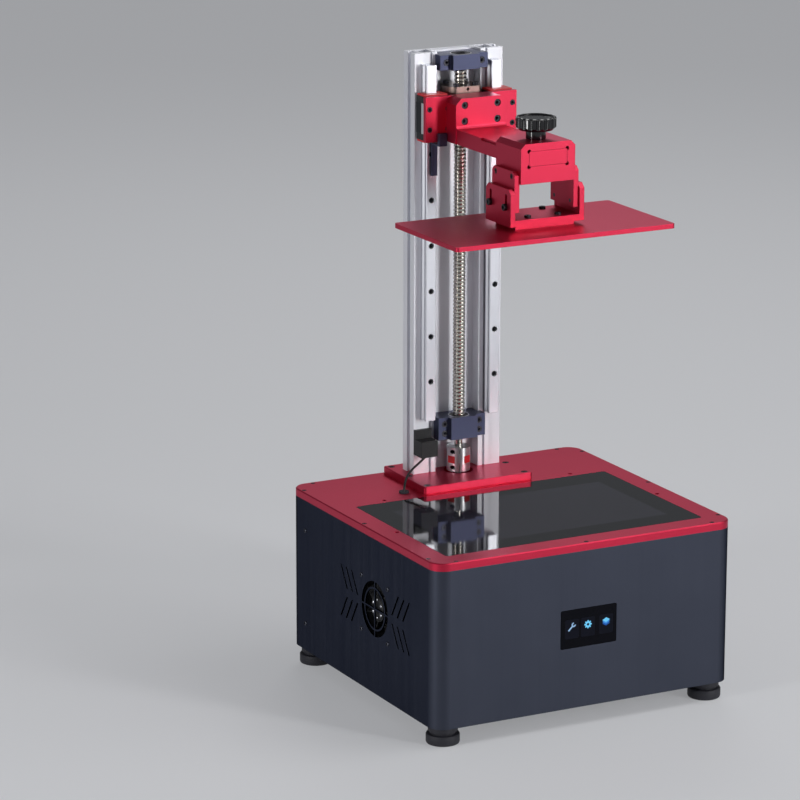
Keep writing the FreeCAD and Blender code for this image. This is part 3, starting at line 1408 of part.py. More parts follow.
def write():
    os.makedirs("parts", exist_ok=True)
    for body in sub_parts:
        body.Shape.exportStep(f"parts/{body.Label}.step")
        print(body.Label, len(body.Shape.Solids), round(body.Shape.Volume / 1000, 2), "cm3")


build()
checked()
write()
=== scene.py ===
"""Resin printer, dressed: finishes, socket screws, ball-screw thread, lit screen and small fittings.

The scene is in metres in the CAD model's frame. Sizes and places are written in millimetres.
"""
import json
import math

import bmesh
import bpy
from mathutils import Matrix, Vector


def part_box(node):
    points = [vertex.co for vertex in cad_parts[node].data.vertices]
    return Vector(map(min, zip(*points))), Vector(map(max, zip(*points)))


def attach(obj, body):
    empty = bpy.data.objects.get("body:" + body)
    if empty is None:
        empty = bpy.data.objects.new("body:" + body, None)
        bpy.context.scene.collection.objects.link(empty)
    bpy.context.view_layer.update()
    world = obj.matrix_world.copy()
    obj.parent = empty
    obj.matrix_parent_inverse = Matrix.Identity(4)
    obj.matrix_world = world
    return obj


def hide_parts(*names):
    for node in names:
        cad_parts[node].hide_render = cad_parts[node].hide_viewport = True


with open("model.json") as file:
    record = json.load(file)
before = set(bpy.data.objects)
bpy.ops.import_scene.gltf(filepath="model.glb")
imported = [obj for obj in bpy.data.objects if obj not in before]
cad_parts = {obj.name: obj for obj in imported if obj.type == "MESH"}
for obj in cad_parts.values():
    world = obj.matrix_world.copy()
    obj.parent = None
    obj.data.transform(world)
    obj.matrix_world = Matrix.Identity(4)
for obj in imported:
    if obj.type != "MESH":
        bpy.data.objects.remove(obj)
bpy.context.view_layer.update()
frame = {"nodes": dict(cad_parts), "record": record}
nodes = frame["nodes"]
behaviour = frame["record"]["behaviour"]
body_of = {node: body for body, members in behaviour["bodies"].items() for node in members}

MM = 0.001
TURN = 2 * math.pi
CRISP = math.radians(34)
X, Y, Z = Vector((1, 0, 0)), Vector((0, 1, 0)), Vector((0, 0, 1))
pivot_of = {joint["child"]: Vector(joint["pos_m"]) / MM for joint in behaviour["joints"] if "pos_m" in joint}


# Materials

CLOUD_MM = 70


def linear(colour):
    """An sRGB hex colour as linear RGBA."""
    channels = [int(colour[start:start + 2], 16) / 255 for start in (1, 3, 5)]
    return [c / 12.92 if c <= 0.04045 else ((c + 0.055) / 1.055) ** 2.4 for c in channels] + [1.0]


def add_node(tree, kind, sockets, **settings):
    """Adds a shader node: settings are its properties, and sockets take a value or another node's output."""
    made = tree.nodes.new("ShaderNode" + kind)
    for name, value in settings.items():
        setattr(made, name, value)
    for name, value in sockets.items():
        if isinstance(value, bpy.types.NodeSocket):
            tree.links.new(value, made.inputs[name])
        else:
            made.inputs[name].default_value = value
    return made


def started(name, **sockets):
    """A material with a Principled shader: returns it with its tree, shader and Object coordinates."""
    material = bpy.data.materials.new(name)
    material.use_nodes = True
    tree = material.node_tree
    shader = tree.nodes["Principled BSDF"]
    for socket, value in sockets.items():
        shader.inputs[socket.replace("_", " ")].default_value = value
    place = add_node(tree, "TexCoord", {}).outputs["Object"]
    return material, tree, shader, place


def mixed(tree, factor, low, high):
    """A colour between two others; each is a hex string or a node's output."""
    ends = [linear(end) if isinstance(end, str) else end for end in (low, high)]
    mix = add_node(tree, "Mix", {"Factor": factor, "A": ends[0], "B": ends[1]}, data_type="RGBA")
    return mix.outputs["Result"]


def grained(tree, shader, place, colours, roughness, grain_mm, depth_mm, stretch=(1, 1, 1), edge_mm=0):
    """Cloudy colour between two close tones, uneven roughness and a fine grain, with optional round edges.

    Real brush lines, blasting and mould textures are finer: a grain is as coarse as it needs to be to show.
    """
    cloud = add_node(tree, "TexNoise", {"Vector": place, "Scale": 1 / (CLOUD_MM * MM), "Detail": 3})
    drawn_out = add_node(tree, "Mapping", {"Vector": place, "Scale": stretch})
    grain = add_node(tree, "TexNoise", {"Vector": drawn_out.outputs["Vector"], "Scale": 1 / (grain_mm * MM),
                                        "Detail": 2})
    blend = add_node(tree, "Mix", {"Factor": 0.5, "A": cloud.outputs["Fac"], "B": grain.outputs["Fac"]})
    tone = mixed(tree, blend.outputs["Result"], *colours)
    tree.links.new(tone, shader.inputs["Base Color"])
    spread = add_node(tree, "MapRange", {"Value": grain.outputs["Fac"], "From Min": 0.3, "From Max": 0.7,
                                         "To Min": roughness[0], "To Max": roughness[1]})
    tree.links.new(spread.outputs["Result"], shader.inputs["Roughness"])
    bump = add_node(tree, "Bump", {"Height": grain.outputs["Fac"], "Strength": 0.5,
                                   "Distance": depth_mm * MM})
    if edge_mm:
        rounded = add_node(tree, "Bevel", {"Radius": edge_mm * MM}, samples=6)
        tree.links.new(rounded.outputs["Normal"], bump.inputs["Normal"])
    tree.links.new(bump.outputs["Normal"], shader.inputs["Normal"])
    return tone


def red_anodised():
    # Bead-blasted aluminium, dyed red and sealed: satin metal under a thin clear skin that pales in the light
    material, tree, shader, place = started("anodised_aluminium_red", Metallic=0.9, Coat_Weight=0.6,
                                            Coat_Roughness=0.4, Specular_Tint=linear("#DAB3CB"))
    grained(tree, shader, place, ("#C0103A", "#CE1440"), (0.38, 0.46), 0.9, 0.006, edge_mm=0.6)
    return material


def slate_anodised():
    # Aluminium sheet, brushed upright and dyed slate: dark satin metal with faint streaks
    material, tree, shader, place = started("anodised_sheet_slate", Metallic=0.95,
                                            Specular_Tint=linear("#606470"))
    tone = grained(tree, shader, place, ("#3F434F", "#4C505D"), (0.4, 0.5), 5.0, 0.008, (1, 1, 0.02),
                   edge_mm=0.6)
    # Painted shade: the cut walls of the side's vents and grille are coloured near black for the shade behind
    # its face; the region's middle and half, in mm
    vents = {"X": (-213, 5), "Y": (pivot_of["fan"].y, 96), "Z": (pivot_of["fan"].z, 45)}
    spot = add_node(tree, "SeparateXYZ", {"Vector": place}).outputs
    facing = add_node(tree, "NewGeometry", {}).outputs["True Normal"]
    across = add_node(tree, "SeparateXYZ", {"Vector": facing}).outputs["X"]
    vent_shade_mask = add_node(tree, "Math", {0: across, 1: 0.0, 2: 0.5}, operation="COMPARE").outputs[0]
    for axis, (middle, half) in vents.items():
        near = add_node(tree, "Math", {0: spot[axis], 1: middle * MM, 2: half * MM}, operation="COMPARE")
        vent_shade_mask = add_node(tree, "Math", {0: vent_shade_mask, 1: near.outputs[0]}, operation="MULTIPLY").outputs[0]
    # The near-black mixed in here is painted shade on the vent walls, not the sheet's own colour
    tree.links.new(mixed(tree, vent_shade_mask, tone, "#07080B"), shader.inputs["Base Color"])
    return material


def clear_anodised():
    # Extruded aluminium, etched and clear anodised: pale satin metal with die lines along its length
    material, tree, shader, place = started("anodised_aluminium_clear", Metallic=0.5)
    grained(tree, shader, place, ("#EAEBF2", "#F2F3F8"), (0.42, 0.54), 1.3, 0.012, (1, 1, 0.006), edge_mm=0.4)
    return material


def bare_aluminium():
    # Turned aluminium: bright, with fine tool marks round it
    material, tree, shader, place = started("aluminium_turned", Metallic=1.0)
    grained(tree, shader, place, ("#D2D3D6", "#DCDDE0"), (0.28, 0.4), 0.8, 0.006, (0.05, 0.05, 1),
            edge_mm=0.4)
    return material


def ground_steel():
    # Bearing steel, ground lengthways: brighter and sharper than the extrusion behind it
    material, tree, shader, place = started("bearing_steel_ground", Metallic=1.0)
    grained(tree, shader, place, ("#CCCDD4", "#D6D7DD"), (0.28, 0.38), 0.8, 0.004, (1, 1, 0.01), edge_mm=0.4)
    return material


def rolled_steel():
    # Rolled and polished screw, oiled: dark mirror in the groove, bright on the lands
    material, tree, shader, place = started("screw_steel_rolled", Metallic=1.0)
    grained(tree, shader, place, ("#BDB8B0", "#C7C3BC"), (0.12, 0.22), 2.0, 0.004)
    return material


def nut_steel():
    # Ground nut with a thin film of oil, a little warm
    material, tree, shader, place = started("nut_steel_oiled", Metallic=1.0)
    grained(tree, shader, place, ("#7A6C66", "#867870"), (0.28, 0.4), 1.2, 0.006, edge_mm=0.4)
    return material


def black_oxide():
    # Blackened steel fasteners: nearly black with a soft metal glint
    material, tree, shader, place = started("steel_black_oxide", Metallic=0.85)
    grained(tree, shader, place, ("#36363C", "#424248"), (0.24, 0.32), 0.7, 0.006)
    return material


def zinc_plate():
    # Zinc-plated steel heads, passivated grey: soft dull glint
    material, tree, shader, place = started("steel_zinc_grey", Metallic=1.0)
    grained(tree, shader, place, ("#484A54", "#54565F"), (0.4, 0.5), 0.7, 0.006)
    return material


def black_anodised():
    # Machined aluminium, anodised black, which turns bluish under soft light
    material, tree, shader, place = started("anodised_aluminium_black", Metallic=0.9)
    grained(tree, shader, place, ("#444860", "#4E526A"), (0.36, 0.48), 0.9, 0.008, edge_mm=0.5)
    return material


def blackened_block():
    # Guide blocks: blackened steel with one ground reference band along each outer side
    material, tree, shader, place = started("block_steel_blackened", Metallic=0.9)
    tone = grained(tree, shader, place, ("#1E2024", "#26282D"), (0.3, 0.4), 0.9, 0.005, edge_mm=0.4)
    band_middle, band_half = 119.5 * MM, 3.2 * MM
    parts = add_node(tree, "SeparateXYZ", {"Vector": place})
    band = add_node(tree, "Math", {0: parts.outputs["Y"], 1: band_middle, 2: band_half}, operation="COMPARE")
    tree.links.new(mixed(tree, band.outputs[0], tone, "#DCDDE0"), shader.inputs["Base Color"])
    return material


def moulded_black():
    # Glass-filled nylon or ABS, moulded with a fine spark texture
    material, tree, shader, place = started("moulded_nylon_black", IOR=1.5, Specular_IOR_Level=0.45)
    grained(tree, shader, place, ("#141518", "#1B1C1F"), (0.44, 0.58), 0.8, 0.02, edge_mm=0.4)
    return material


def bakelite():
    # Phenolic, polished in its mould: deep black with sharp highlights
    material, tree, shader, place = started("bakelite_black", IOR=1.62)
    grained(tree, shader, place, ("#0A0A0D", "#101014"), (0.1, 0.16), 4.0, 0.004, edge_mm=0.8)
    return material


def polyurethane():
    # Cast red polyurethane, slightly waxy
    material, tree, shader, place = started("polyurethane_red", IOR=1.5, Subsurface_Weight=0.1)
    grained(tree, shader, place, ("#D01824", "#DC222C"), (0.4, 0.5), 1.5, 0.01, edge_mm=0.4)
    return material


def grey_rubber():
    # Moulded rubber: dull dark grey
    material, tree, shader, place = started("moulded_rubber_grey", IOR=1.5)
    grained(tree, shader, place, ("#22222A", "#2A2A32"), (0.55, 0.7), 1.2, 0.03, edge_mm=0.6)
    return material


def lead_jacket():
    # PVC jacket of a thin lead
    material, tree, shader, place = started("pvc_jacket_black", IOR=1.53)
    grained(tree, shader, place, ("#18181A", "#1F1F22"), (0.38, 0.46), 1.0, 0.01)
    return material


def solder_mask():
    # Glass-fibre board under green solder mask
    material, tree, shader, place = started("circuit_board_green", IOR=1.5)
    grained(tree, shader, place, ("#0E3B22", "#12472A"), (0.28, 0.4), 3.0, 0.02)
    return material


def contact_nickel():
    # Nickel-plated contact blades
    material, tree, shader, place = started("contact_nickel", Metallic=1.0)
    grained(tree, shader, place, ("#C8C2B4", "#D2CCBE"), (0.2, 0.3), 1.0, 0.004)
    return material


def pad_print():
    # White ink printed on a moulding
    material, tree, shader, place = started("pad_print_white", IOR=1.5)
    grained(tree, shader, place, ("#D8D8D6", "#E2E2E0"), (0.5, 0.6), 0.8, 0.004)
    return material


def screen_glass():
    # Toughened glass over a black printed frame; inside the frame the panel's polariser shows, greyer
    material, tree, shader, place = started("toughened_glass_printed", Roughness=0.05, IOR=1.52)
    half_x, half_y, middle_y, cloud_size = 152 * MM, 85 * MM, -54 * MM, 90 * MM
    parts = add_node(tree, "SeparateXYZ", {"Vector": place})
    in_x = add_node(tree, "Math", {0: parts.outputs["X"], 1: 0.0, 2: half_x}, operation="COMPARE")
    in_y = add_node(tree, "Math", {0: parts.outputs["Y"], 1: middle_y, 2: half_y}, operation="COMPARE")
    window = add_node(tree, "Math", {0: in_x.outputs[0], 1: in_y.outputs[0]}, operation="MULTIPLY")
    cloud = add_node(tree, "TexNoise", {"Vector": place, "Scale": 1 / cloud_size, "Detail": 2})
    panel = mixed(tree, cloud.outputs["Fac"], "#2A2A33", "#31313B")
    tree.links.new(mixed(tree, window.outputs[0], "#0D0E12", panel), shader.inputs["Base Color"])
    return material


def cover_glass():
    # Cover glass over a display: black with a blue cast
    material, tree, shader, place = started("cover_glass_black", Roughness=0.12, IOR=1.52,
                                            Specular_IOR_Level=0.08)
    cloud = add_node(tree, "TexNoise", {"Vector": place, "Scale": 1 / (40 * MM), "Detail": 2})
    tree.links.new(mixed(tree, cloud.outputs["Fac"], "#03040A", "#060712"), shader.inputs["Base Color"])
    return material


def lit_pixels(name, low, high, strength):
    # Lit display under black glass, with the faint unevenness of its backlight
    material, tree, shader, place = started(name, Base_Color=linear("#05060A"), Roughness=0.3,
                                            Specular_IOR_Level=0.08, Emission_Strength=strength)
    cloud = add_node(tree, "TexNoise", {"Vector": place, "Scale": 1 / (6 * MM), "Detail": 1})
    tone = mixed(tree, cloud.outputs["Fac"], low, high)
    tree.links.new(tone, shader.inputs["Emission Color"])
    return material


RED, SLATE, CLEAR, BARE = red_anodised(), slate_anodised(), clear_anodised(), bare_aluminium()
GROUND, ROLLED, NUT, OXIDE = ground_steel(), rolled_steel(), nut_steel(), black_oxide()
BLACK, BLACKENED, MOULDED, BAKELITE = black_anodised(), blackened_block(), moulded_black(), bakelite()
POLYURETHANE, RUBBER, JACKET, BOARD = polyurethane(), grey_rubber(), lead_jacket(), solder_mask()
CONTACT, ZINC, PRINT = contact_nickel(), zinc_plate(), pad_print()
SCREEN, COVER = screen_glass(), cover_glass()
SIGN_GREY = lit_pixels("display_lit_grey_blue", "#86AAD2", "#98BCE0", 1)
SIGN_LIGHT = lit_pixels("display_lit_pale_blue", "#62C2F2", "#7CD2FA", 1)
SIGN_MID = lit_pixels("display_lit_blue", "#3580D4", "#4590E2", 1)
SIGN_DEEP = lit_pixels("display_lit_deep_blue", "#1C4C98", "#245AAA", 1)
TILE = lit_pixels("display_tile_navy", "#06070F", "#0A0C18", 1)

FINISH = {
    "cabinet_shell": SLATE, "bottom_plate": SLATE, "feet": RUBBER, "top_plate": RED, "screen_glass": SCREEN,
    "lcd_panel": COVER, "light_box": BARE, "led_board": BOARD, "heat_sink": BARE, "mainboard": BOARD,
    "power_supply": BLACK, "touch_glass": COVER, "touch_module": BOARD, "power_inlet": MOULDED,
    "power_rocker": MOULDED, "fan_frame": MOULDED, "fan_rotor": MOULDED, "tower_base_plate": RED,
    "tower_column": CLEAR, "rail_left": GROUND, "rail_right": GROUND, "upper_bearing_block": BLACK,
    "lower_bearing_block": BLACK, "upper_bearing": GROUND, "lower_bearing": GROUND, "z_motor": BLACK,
    "limit_sensor": MOULDED, "sensor_lead": JACKET, "lead_grommet": RUBBER, "ball_screw": ROLLED,
    "coupling_upper_hub": BARE, "coupling_lower_hub": BARE, "coupling_spider": POLYURETHANE,
    "motor_shaft": GROUND, "guide_block_left": BLACKENED, "guide_block_right": BLACKENED,
    "block_end_caps": MOULDED, "block_seals": POLYURETHANE, "carriage_plate": RED, "nut_seat": RED,
    "ball_nut": NUT, "arm_bracket": RED, "sensor_flag": BLACK, "head_block": RED, "side_plate_left": RED,
    "side_plate_right": RED, "clamp_screw": GROUND, "clamp_knob": BAKELITE, "level_bracket": RED,
    "plate_spacer": RED, "build_plate": RED, "deck_screws": OXIDE, "panel_screws": ZINC,
    "base_plate_screws": OXIDE, "rail_screws": OXIDE, "bearing_block_screws": OXIDE, "carriage_screws": OXIDE,
    "head_screws": OXIDE, "plate_screws": OXIDE,
}
for name, material in FINISH.items():
    nodes[name].data.materials.clear()
    nodes[name].data.materials.append(material)


# Tools for pieces

def shown(name, bm, materials, body, stands_for=()):
    """Turns a bmesh into a smooth-shaded piece that rides on a body; the bmesh is freed."""
    mesh = bpy.data.meshes.new(name)
    bm.to_mesh(mesh)
    bm.free()
    if "custom_normal" in mesh.attributes:
        mesh.attributes.remove(mesh.attributes["custom_normal"])
    for material in materials:
        mesh.materials.append(material)
    mesh.polygons.foreach_set("use_smooth", [True] * len(mesh.polygons))
    mesh.set_sharp_from_angle(angle=CRISP)
    piece = bpy.data.objects.new(name, mesh)
    bpy.context.scene.collection.objects.link(piece)
    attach(piece, body)
    if stands_for:
        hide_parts(*stands_for)


def merged_copy(node):
    """A CAD node's mesh with its triangles joined."""
    bm = bmesh.new()
    bm.from_mesh(nodes[node].data)
    bmesh.ops.remove_doubles(bm, verts=bm.verts, dist=0.002 * MM)
    return bm


def turned(bm, profile, steps=32):
    """Spins (radius, height) points, in mm, round the z axis into a surface."""
    verts = [bm.verts.new((radius * MM, 0, height * MM)) for radius, height in profile]
    edges = [bm.edges.new(pair) for pair in zip(verts, verts[1:])]
    bmesh.ops.spin(bm, geom=verts + edges, cent=(0, 0, 0), axis=Z, angle=TURN, steps=steps, use_merge=True)
    bmesh.ops.remove_doubles(bm, verts=bm.verts, dist=0.005 * MM)
    bmesh.ops.recalc_face_normals(bm, faces=bm.faces)


def extent(node, axis):
    """A CAD node's two ends along an axis, in mm."""
    return [corner[axis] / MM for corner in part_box(node)]


def at(x, y, z):
    """A shift, in mm."""
    return Matrix.Translation(Vector((x, y, z)) * MM)


# Fasteners

def solids_of(node):
    """The lowest and highest corner of each separate solid of a CAD node."""
    bm = merged_copy(node)
    left = set(bm.verts)
    boxes = []
    while left:
        reached = [left.pop()]
        for vert in reached:
            fresh = {edge.other_vert(vert) for edge in vert.link_edges} & left
            left -= fresh
            reached.extend(fresh)
        boxes.append([[end(vert.co[axis] for vert in reached) for axis in range(3)] for end in (min, max)])
    bm.free()
    return sorted(boxes)


def socket_screw(radius, head, length, dome):
    """A socket screw's mesh: the top of its head at z = 0 and its shank down the z axis, in mm."""
    bm = bmesh.new()
    shank, socket, socket_depth = 0.55 * radius, 0.56 * radius, 0.6 * head
    turned(bm, [(radius - dome, 0), (radius, -dome), (radius, -head), (shank, -head), (shank, -length),
                (0, -length)], steps=24)
    rim = [edge for edge in bm.edges if edge.is_boundary]
    bmesh.ops.create_circle(bm, segments=6, radius=socket * MM)
    mouth = [edge for edge in bm.edges if edge.is_wire]
    bmesh.ops.bridge_loops(bm, edges=rim + mouth)
    deeper = bmesh.ops.extrude_edge_only(bm, edges=mouth)["geom"]
    floor_verts = [part for part in deeper if isinstance(part, bmesh.types.BMVert)]
    bmesh.ops.translate(bm, verts=floor_verts, vec=(0, 0, -socket_depth * MM))
    bmesh.ops.holes_fill(bm, edges=[edge for edge in bm.edges if edge.is_boundary])
    bmesh.ops.recalc_face_normals(bm, faces=bm.faces)
    mesh = bpy.data.meshes.new("socket_screw")
    bm.to_mesh(mesh)
    bm.free()
    return mesh


def joined(bm, mesh, matrix):
    """Adds a mesh to a bmesh in its place; the mesh is removed."""
    start = len(bm.verts)
    bm.from_mesh(mesh)
    bpy.data.meshes.remove(mesh)
    bm.verts.ensure_lookup_table()
    bmesh.ops.transform(bm, matrix=matrix, verts=bm.verts[start:])


def socketed(node, head, dome):
    """Stands for a node of fasteners with socket screws in the same places."""
    bm = bmesh.new()
    for low, high in solids_of(node):
        size = [(top - bottom) / MM for bottom, top in zip(low, high)]
        across = sorted(size)[1]
        axis = max(range(3), key=lambda side: abs(size[side] - across))
        middle = (Vector(low) + Vector(high)) / 2
        outward = (X * math.copysign(1, middle.x), -Y, Z)[axis]
        screw = socket_screw(across / 2, head, size[axis], dome)
        turn = Z.rotation_difference(outward).to_matrix().to_4x4()
        top = Matrix.Translation(middle + outward * size[axis] * MM / 2)
        joined(bm, screw, top @ turn)
    shown(node + "_socketed", bm, [FINISH[node]], body_of[node], [node])


HEADS = {
    "deck_screws": (2.5, 0.3), "panel_screws": (1.6, 0.9), "base_plate_screws": (5, 0.5),
    "rail_screws": (4, 0.4), "bearing_block_screws": (5, 0.5), "carriage_screws": (4, 0.5),
    "head_screws": (4, 0.5), "plate_screws": (3, 0.5),
}
for name, (head, dome) in HEADS.items():
    socketed(name, head, dome)


# Feet

def levelling_feet():
    """Round feet with a lip, a groove and a collar under the cabinet, one for each CAD foot."""
    bm = bmesh.new()
    lip, groove, collar = 21.2, 16.2, 18.7
    height = extent("cabinet_shell", 2)[0]
    profile = [(0, 0), (18.8, 0), (20.4, 0.7), (lip, 2.4), (lip, 11.6), (20.6, 12.7), (19.2, 13.2),
               (16.8, 13.2), (groove, 13.8), (groove, 15.4), (16.8, 16), (18.2, 16), (collar, 16.5),
               (collar, height), (0, height)]
    for low, high in solids_of("feet"):
        foot = bmesh.new()
        turned(foot, profile, steps=48)
        mesh = bpy.data.meshes.new("foot")
        foot.to_mesh(mesh)
        foot.free()
        middle = (Vector(low) + Vector(high)) / 2
        joined(bm, mesh, Matrix.Translation((middle.x, middle.y, 0)))
    shown("feet_turned", bm, [RUBBER], "base", ["feet"])


levelling_feet()


# Clamp knob

def grown(bm, edges, to_axis, widened, rise):
    """Extrudes a ring of edges, widens or narrows it round the z axis and lifts it; gives the new ring."""
    made = bmesh.ops.extrude_edge_only(bm, edges=edges)["geom"]
    verts = [part for part in made if isinstance(part, bmesh.types.BMVert)]
    bmesh.ops.scale(bm, verts=verts, vec=(widened, widened, 1), space=to_axis)
    bmesh.ops.translate(bm, verts=verts, vec=(0, 0, rise * MM))
    return [part for part in made if isinstance(part, bmesh.types.BMEdge) and part.is_boundary]


def lipped_knob():
    """The fluted knob with a lip round a sunk, flat top."""
    crown, lip, lip_rise, bore_reach = 6.05, 22.6, 2.3, 15
    low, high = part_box("clamp_knob")
    axis = Vector(((low[0] + high[0]) / 2, (low[1] + high[1]) / 2, 0))
    rim = high[2] - crown * MM
    to_axis = Matrix.Translation(-axis)
    bm = merged_copy("clamp_knob")
    everything = bm.verts[:] + bm.edges[:] + bm.faces[:]
    bmesh.ops.bisect_plane(bm, geom=everything, plane_co=Z * rim, plane_no=Z, clear_outer=True)
    open_edges = [edge for edge in bm.edges if edge.is_boundary]
    flutes = [edge for edge in open_edges if (edge.verts[0].co.xy - axis.xy).length > bore_reach * MM]
    bore = [edge for edge in open_edges if edge not in flutes]
    bmesh.ops.holes_fill(bm, edges=bore)
    ring = flutes
    for widened, rise in ((1, 1.1), (0.972, 0.8)):
        ring = grown(bm, ring, to_axis, widened, rise)
    top = Matrix.Translation(axis + Z * (rim + lip_rise * MM))
    bmesh.ops.create_circle(bm, segments=96, radius=lip * MM, matrix=top)
    inside = [edge for edge in bm.edges if edge.is_wire]
    bmesh.ops.bridge_loops(bm, edges=ring + inside)
    for widened, rise in ((0.955, -0.7), (0.98, -1.2)):
        inside = grown(bm, inside, to_axis, widened, rise)
    bmesh.ops.holes_fill(bm, edges=inside)
    bmesh.ops.recalc_face_normals(bm, faces=bm.faces)
    shown("clamp_knob_lipped", bm, [BAKELITE], body_of["clamp_knob"], ["clamp_knob"])


lipped_knob()


# Ball screw and its bearings

def threaded_screw():
    """Rolled ball groove of 5 mm lead between plain journals."""
    lead, land, root, journal, tail, clear = 5, 8, 6.7, 6, 5, 0.5
    foot, top = extent("ball_screw", 2)
    step = extent("lower_bearing", 2)[0]
    low = extent("lower_bearing_block", 2)[1] + clear
    high = extent("upper_bearing_block", 2)[0] - clear
    flank = 0.4 * land + 0.6 * root
    bm = bmesh.new()
    groove = [(land, 0), (land, 1), (flank, 1.6), (root, 2.5), (flank, 3.4), (land, 4), (land, lead)]
    verts = [bm.verts.new((radius * MM, 0, (low - lead + rise) * MM)) for radius, rise in groove]
    edges = [bm.edges.new(pair) for pair in zip(verts, verts[1:])]
    steps = 24
    bmesh.ops.spin(bm, geom=verts + edges, cent=(0, 0, 0), axis=Z, dvec=Z * lead / steps * MM, angle=TURN,
                   steps=steps)
    turns = 1
    while turns * lead < high - low + 2 * lead:
        copy = bmesh.ops.duplicate(bm, geom=bm.verts[:] + bm.edges[:] + bm.faces[:])["geom"]
        bmesh.ops.translate(bm, verts=[part for part in copy if isinstance(part, bmesh.types.BMVert)],
                            vec=Z * turns * lead * MM)
        turns *= 2
    bmesh.ops.remove_doubles(bm, verts=bm.verts, dist=0.01 * MM)
    for level, way in ((low, -Z), (high, Z)):
        everything = bm.verts[:] + bm.edges[:] + bm.faces[:]
        bmesh.ops.bisect_plane(bm, geom=everything, plane_co=Z * level * MM, plane_no=way, clear_outer=True)
    bmesh.ops.holes_fill(bm, edges=[edge for edge in bm.edges if edge.is_boundary])
    bmesh.ops.recalc_face_normals(bm, faces=bm.faces)
    turned(bm, [(0, foot), (tail, foot), (tail, step), (journal, step), (journal, low)])
    turned(bm, [(journal, high), (journal, top - 4.1), (5.4, top - 3.5), (1.6, top - 3.5), (0, top - 5)])
    bmesh.ops.transform(bm, matrix=at(0, pivot_of["screw"].y, 0), verts=bm.verts)
    shown("ball_screw_threaded", bm, [ROLLED], "screw", ["ball_screw"])


def sealed_bearing(node):
    """Ball bearing with a bright outer race and a sunk dark rubber seal; the steel inner race and bore take
    the seal's dark rubber as painted shade.
    """
    bm = bmesh.new()
    bottom, top = extent(node, 2)
    width, race = top - bottom, extent(node, 0)[1]
    bore, seal_in, seal_out, sunk = 6.05, 7.2, 12.8, -0.6
    turned(bm, [(bore, -width), (bore, 0), (seal_in, 0), (seal_in, sunk), (seal_out, sunk), (seal_out, 0),
                (13.6, 0), (race, -0.4), (race, -width), (bore, -width)])
    # Partly real, partly painted shade: the sunk seal is dark rubber, while the inner race and bore inside it
    # get the same dark finish to stand in for shade
    for face in bm.faces:
        reach = face.calc_center_median().xy.length / MM
        if reach < seal_out:
            face.material_index = 1
    bmesh.ops.transform(bm, matrix=at(0, pivot_of["screw"].y, top), verts=bm.verts)
    shown(node + "_sealed", bm, [GROUND, RUBBER], "base", [node])


threaded_screw()
sealed_bearing("upper_bearing")
sealed_bearing("lower_bearing")


# Limit sensor's lead

LEAD = [(-51, 131, 273.75), (-55, 130, 270.75), (-80, 122, 258.75), (-94, 107, 252), (-99, 101, 241),
        (-99, 101, 238)]
LEAD_RADIUS = 1.5
lead_curve = bpy.data.curves.new("sensor_lead_cord", "CURVE")
lead_curve.dimensions = "3D"
lead_curve.bevel_depth = LEAD_RADIUS * MM
lead_curve.use_fill_caps = True
line = lead_curve.splines.new("NURBS")
line.points.add(len(LEAD) - 1)
for point, place in zip(line.points, LEAD):
    point.co = (*(Vector(place) * MM), 1)
line.order_u = 3
line.use_endpoint_u = True
lead_curve.materials.append(JACKET)
lead = bpy.data.objects.new("sensor_lead_cord", lead_curve)
bpy.context.scene.collection.objects.link(lead)
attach(lead, "base")
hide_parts("sensor_lead")


# Touch screen

GLASS_FRONT = extent("touch_glass", 1)[0]
SIGN_LEVEL = 131.5
SIGN_PLACES = (-21.5, 1.5, 27.6)
TILE_PROUD, SIGN_PROUD = 0.03, 0.06


def flat_bar(bm, width, height, matrix):
    """A flat rectangle, in mm."""
    made = bmesh.ops.create_grid(bm, x_segments=1, y_segments=1, size=0.5 * MM)["verts"]
    bmesh.ops.transform(bm, matrix=matrix @ Matrix.Diagonal((width, height, 1, 1)), verts=made)


def flat_ring(bm, inner, outer, sweep=TURN, steps=24):
    """A flat ring or part of one, from the x axis round."""
    ends = [bm.verts.new((radius * MM, 0, 0)) for radius in (inner, outer)]
    bmesh.ops.spin(bm, geom=ends + [bm.edges.new(ends)], cent=(0, 0, 0), axis=Z, angle=sweep, steps=steps,
                   use_merge=sweep == TURN)


def on_screen(name, bm, material, x, proud):
    """Sets a flat shape upright on the touch glass, a hair in front of it."""
    front = at(x, GLASS_FRONT - proud, SIGN_LEVEL) @ Matrix.Rotation(math.radians(90), 4, "X")
    bmesh.ops.transform(bm, matrix=front, verts=bm.verts)
    shown(name, bm, [material], "base")


def tiles():
    """Three dark tiles with round corners, one behind each sign."""
    for number, x in enumerate(SIGN_PLACES, 1):
        bm = bmesh.new()
        width, height, drop, corner = 20, 25, 3, 2
        flat_bar(bm, width, height, at(0, -drop, 0))
        bmesh.ops.bevel(bm, geom=bm.verts[:], offset=corner * MM, segments=3, profile=0.5, affect="VERTICES",
                        material=-1)
        on_screen(f"screen_tile_{number}", bm, TILE, x, TILE_PROUD)


def wrench_sign():
    """An open ring on a bar that leans to the right."""
    bm = bmesh.new()
    mouth, sweep, jaw = TURN * 0.255, TURN * 0.74, at(2.4, 2.4, 0)
    flat_ring(bm, 1.3, 3.1, sweep=sweep, steps=18)
    bmesh.ops.transform(bm, matrix=jaw @ Matrix.Rotation(mouth, 4, "Z"), verts=bm.verts)
    flat_bar(bm, 8.5, 2, Matrix.Rotation(math.radians(45), 4, "Z") @ at(-2.9, 0, 0))
    on_screen("screen_wrench", bm, SIGN_GREY, SIGN_PLACES[0], SIGN_PROUD)


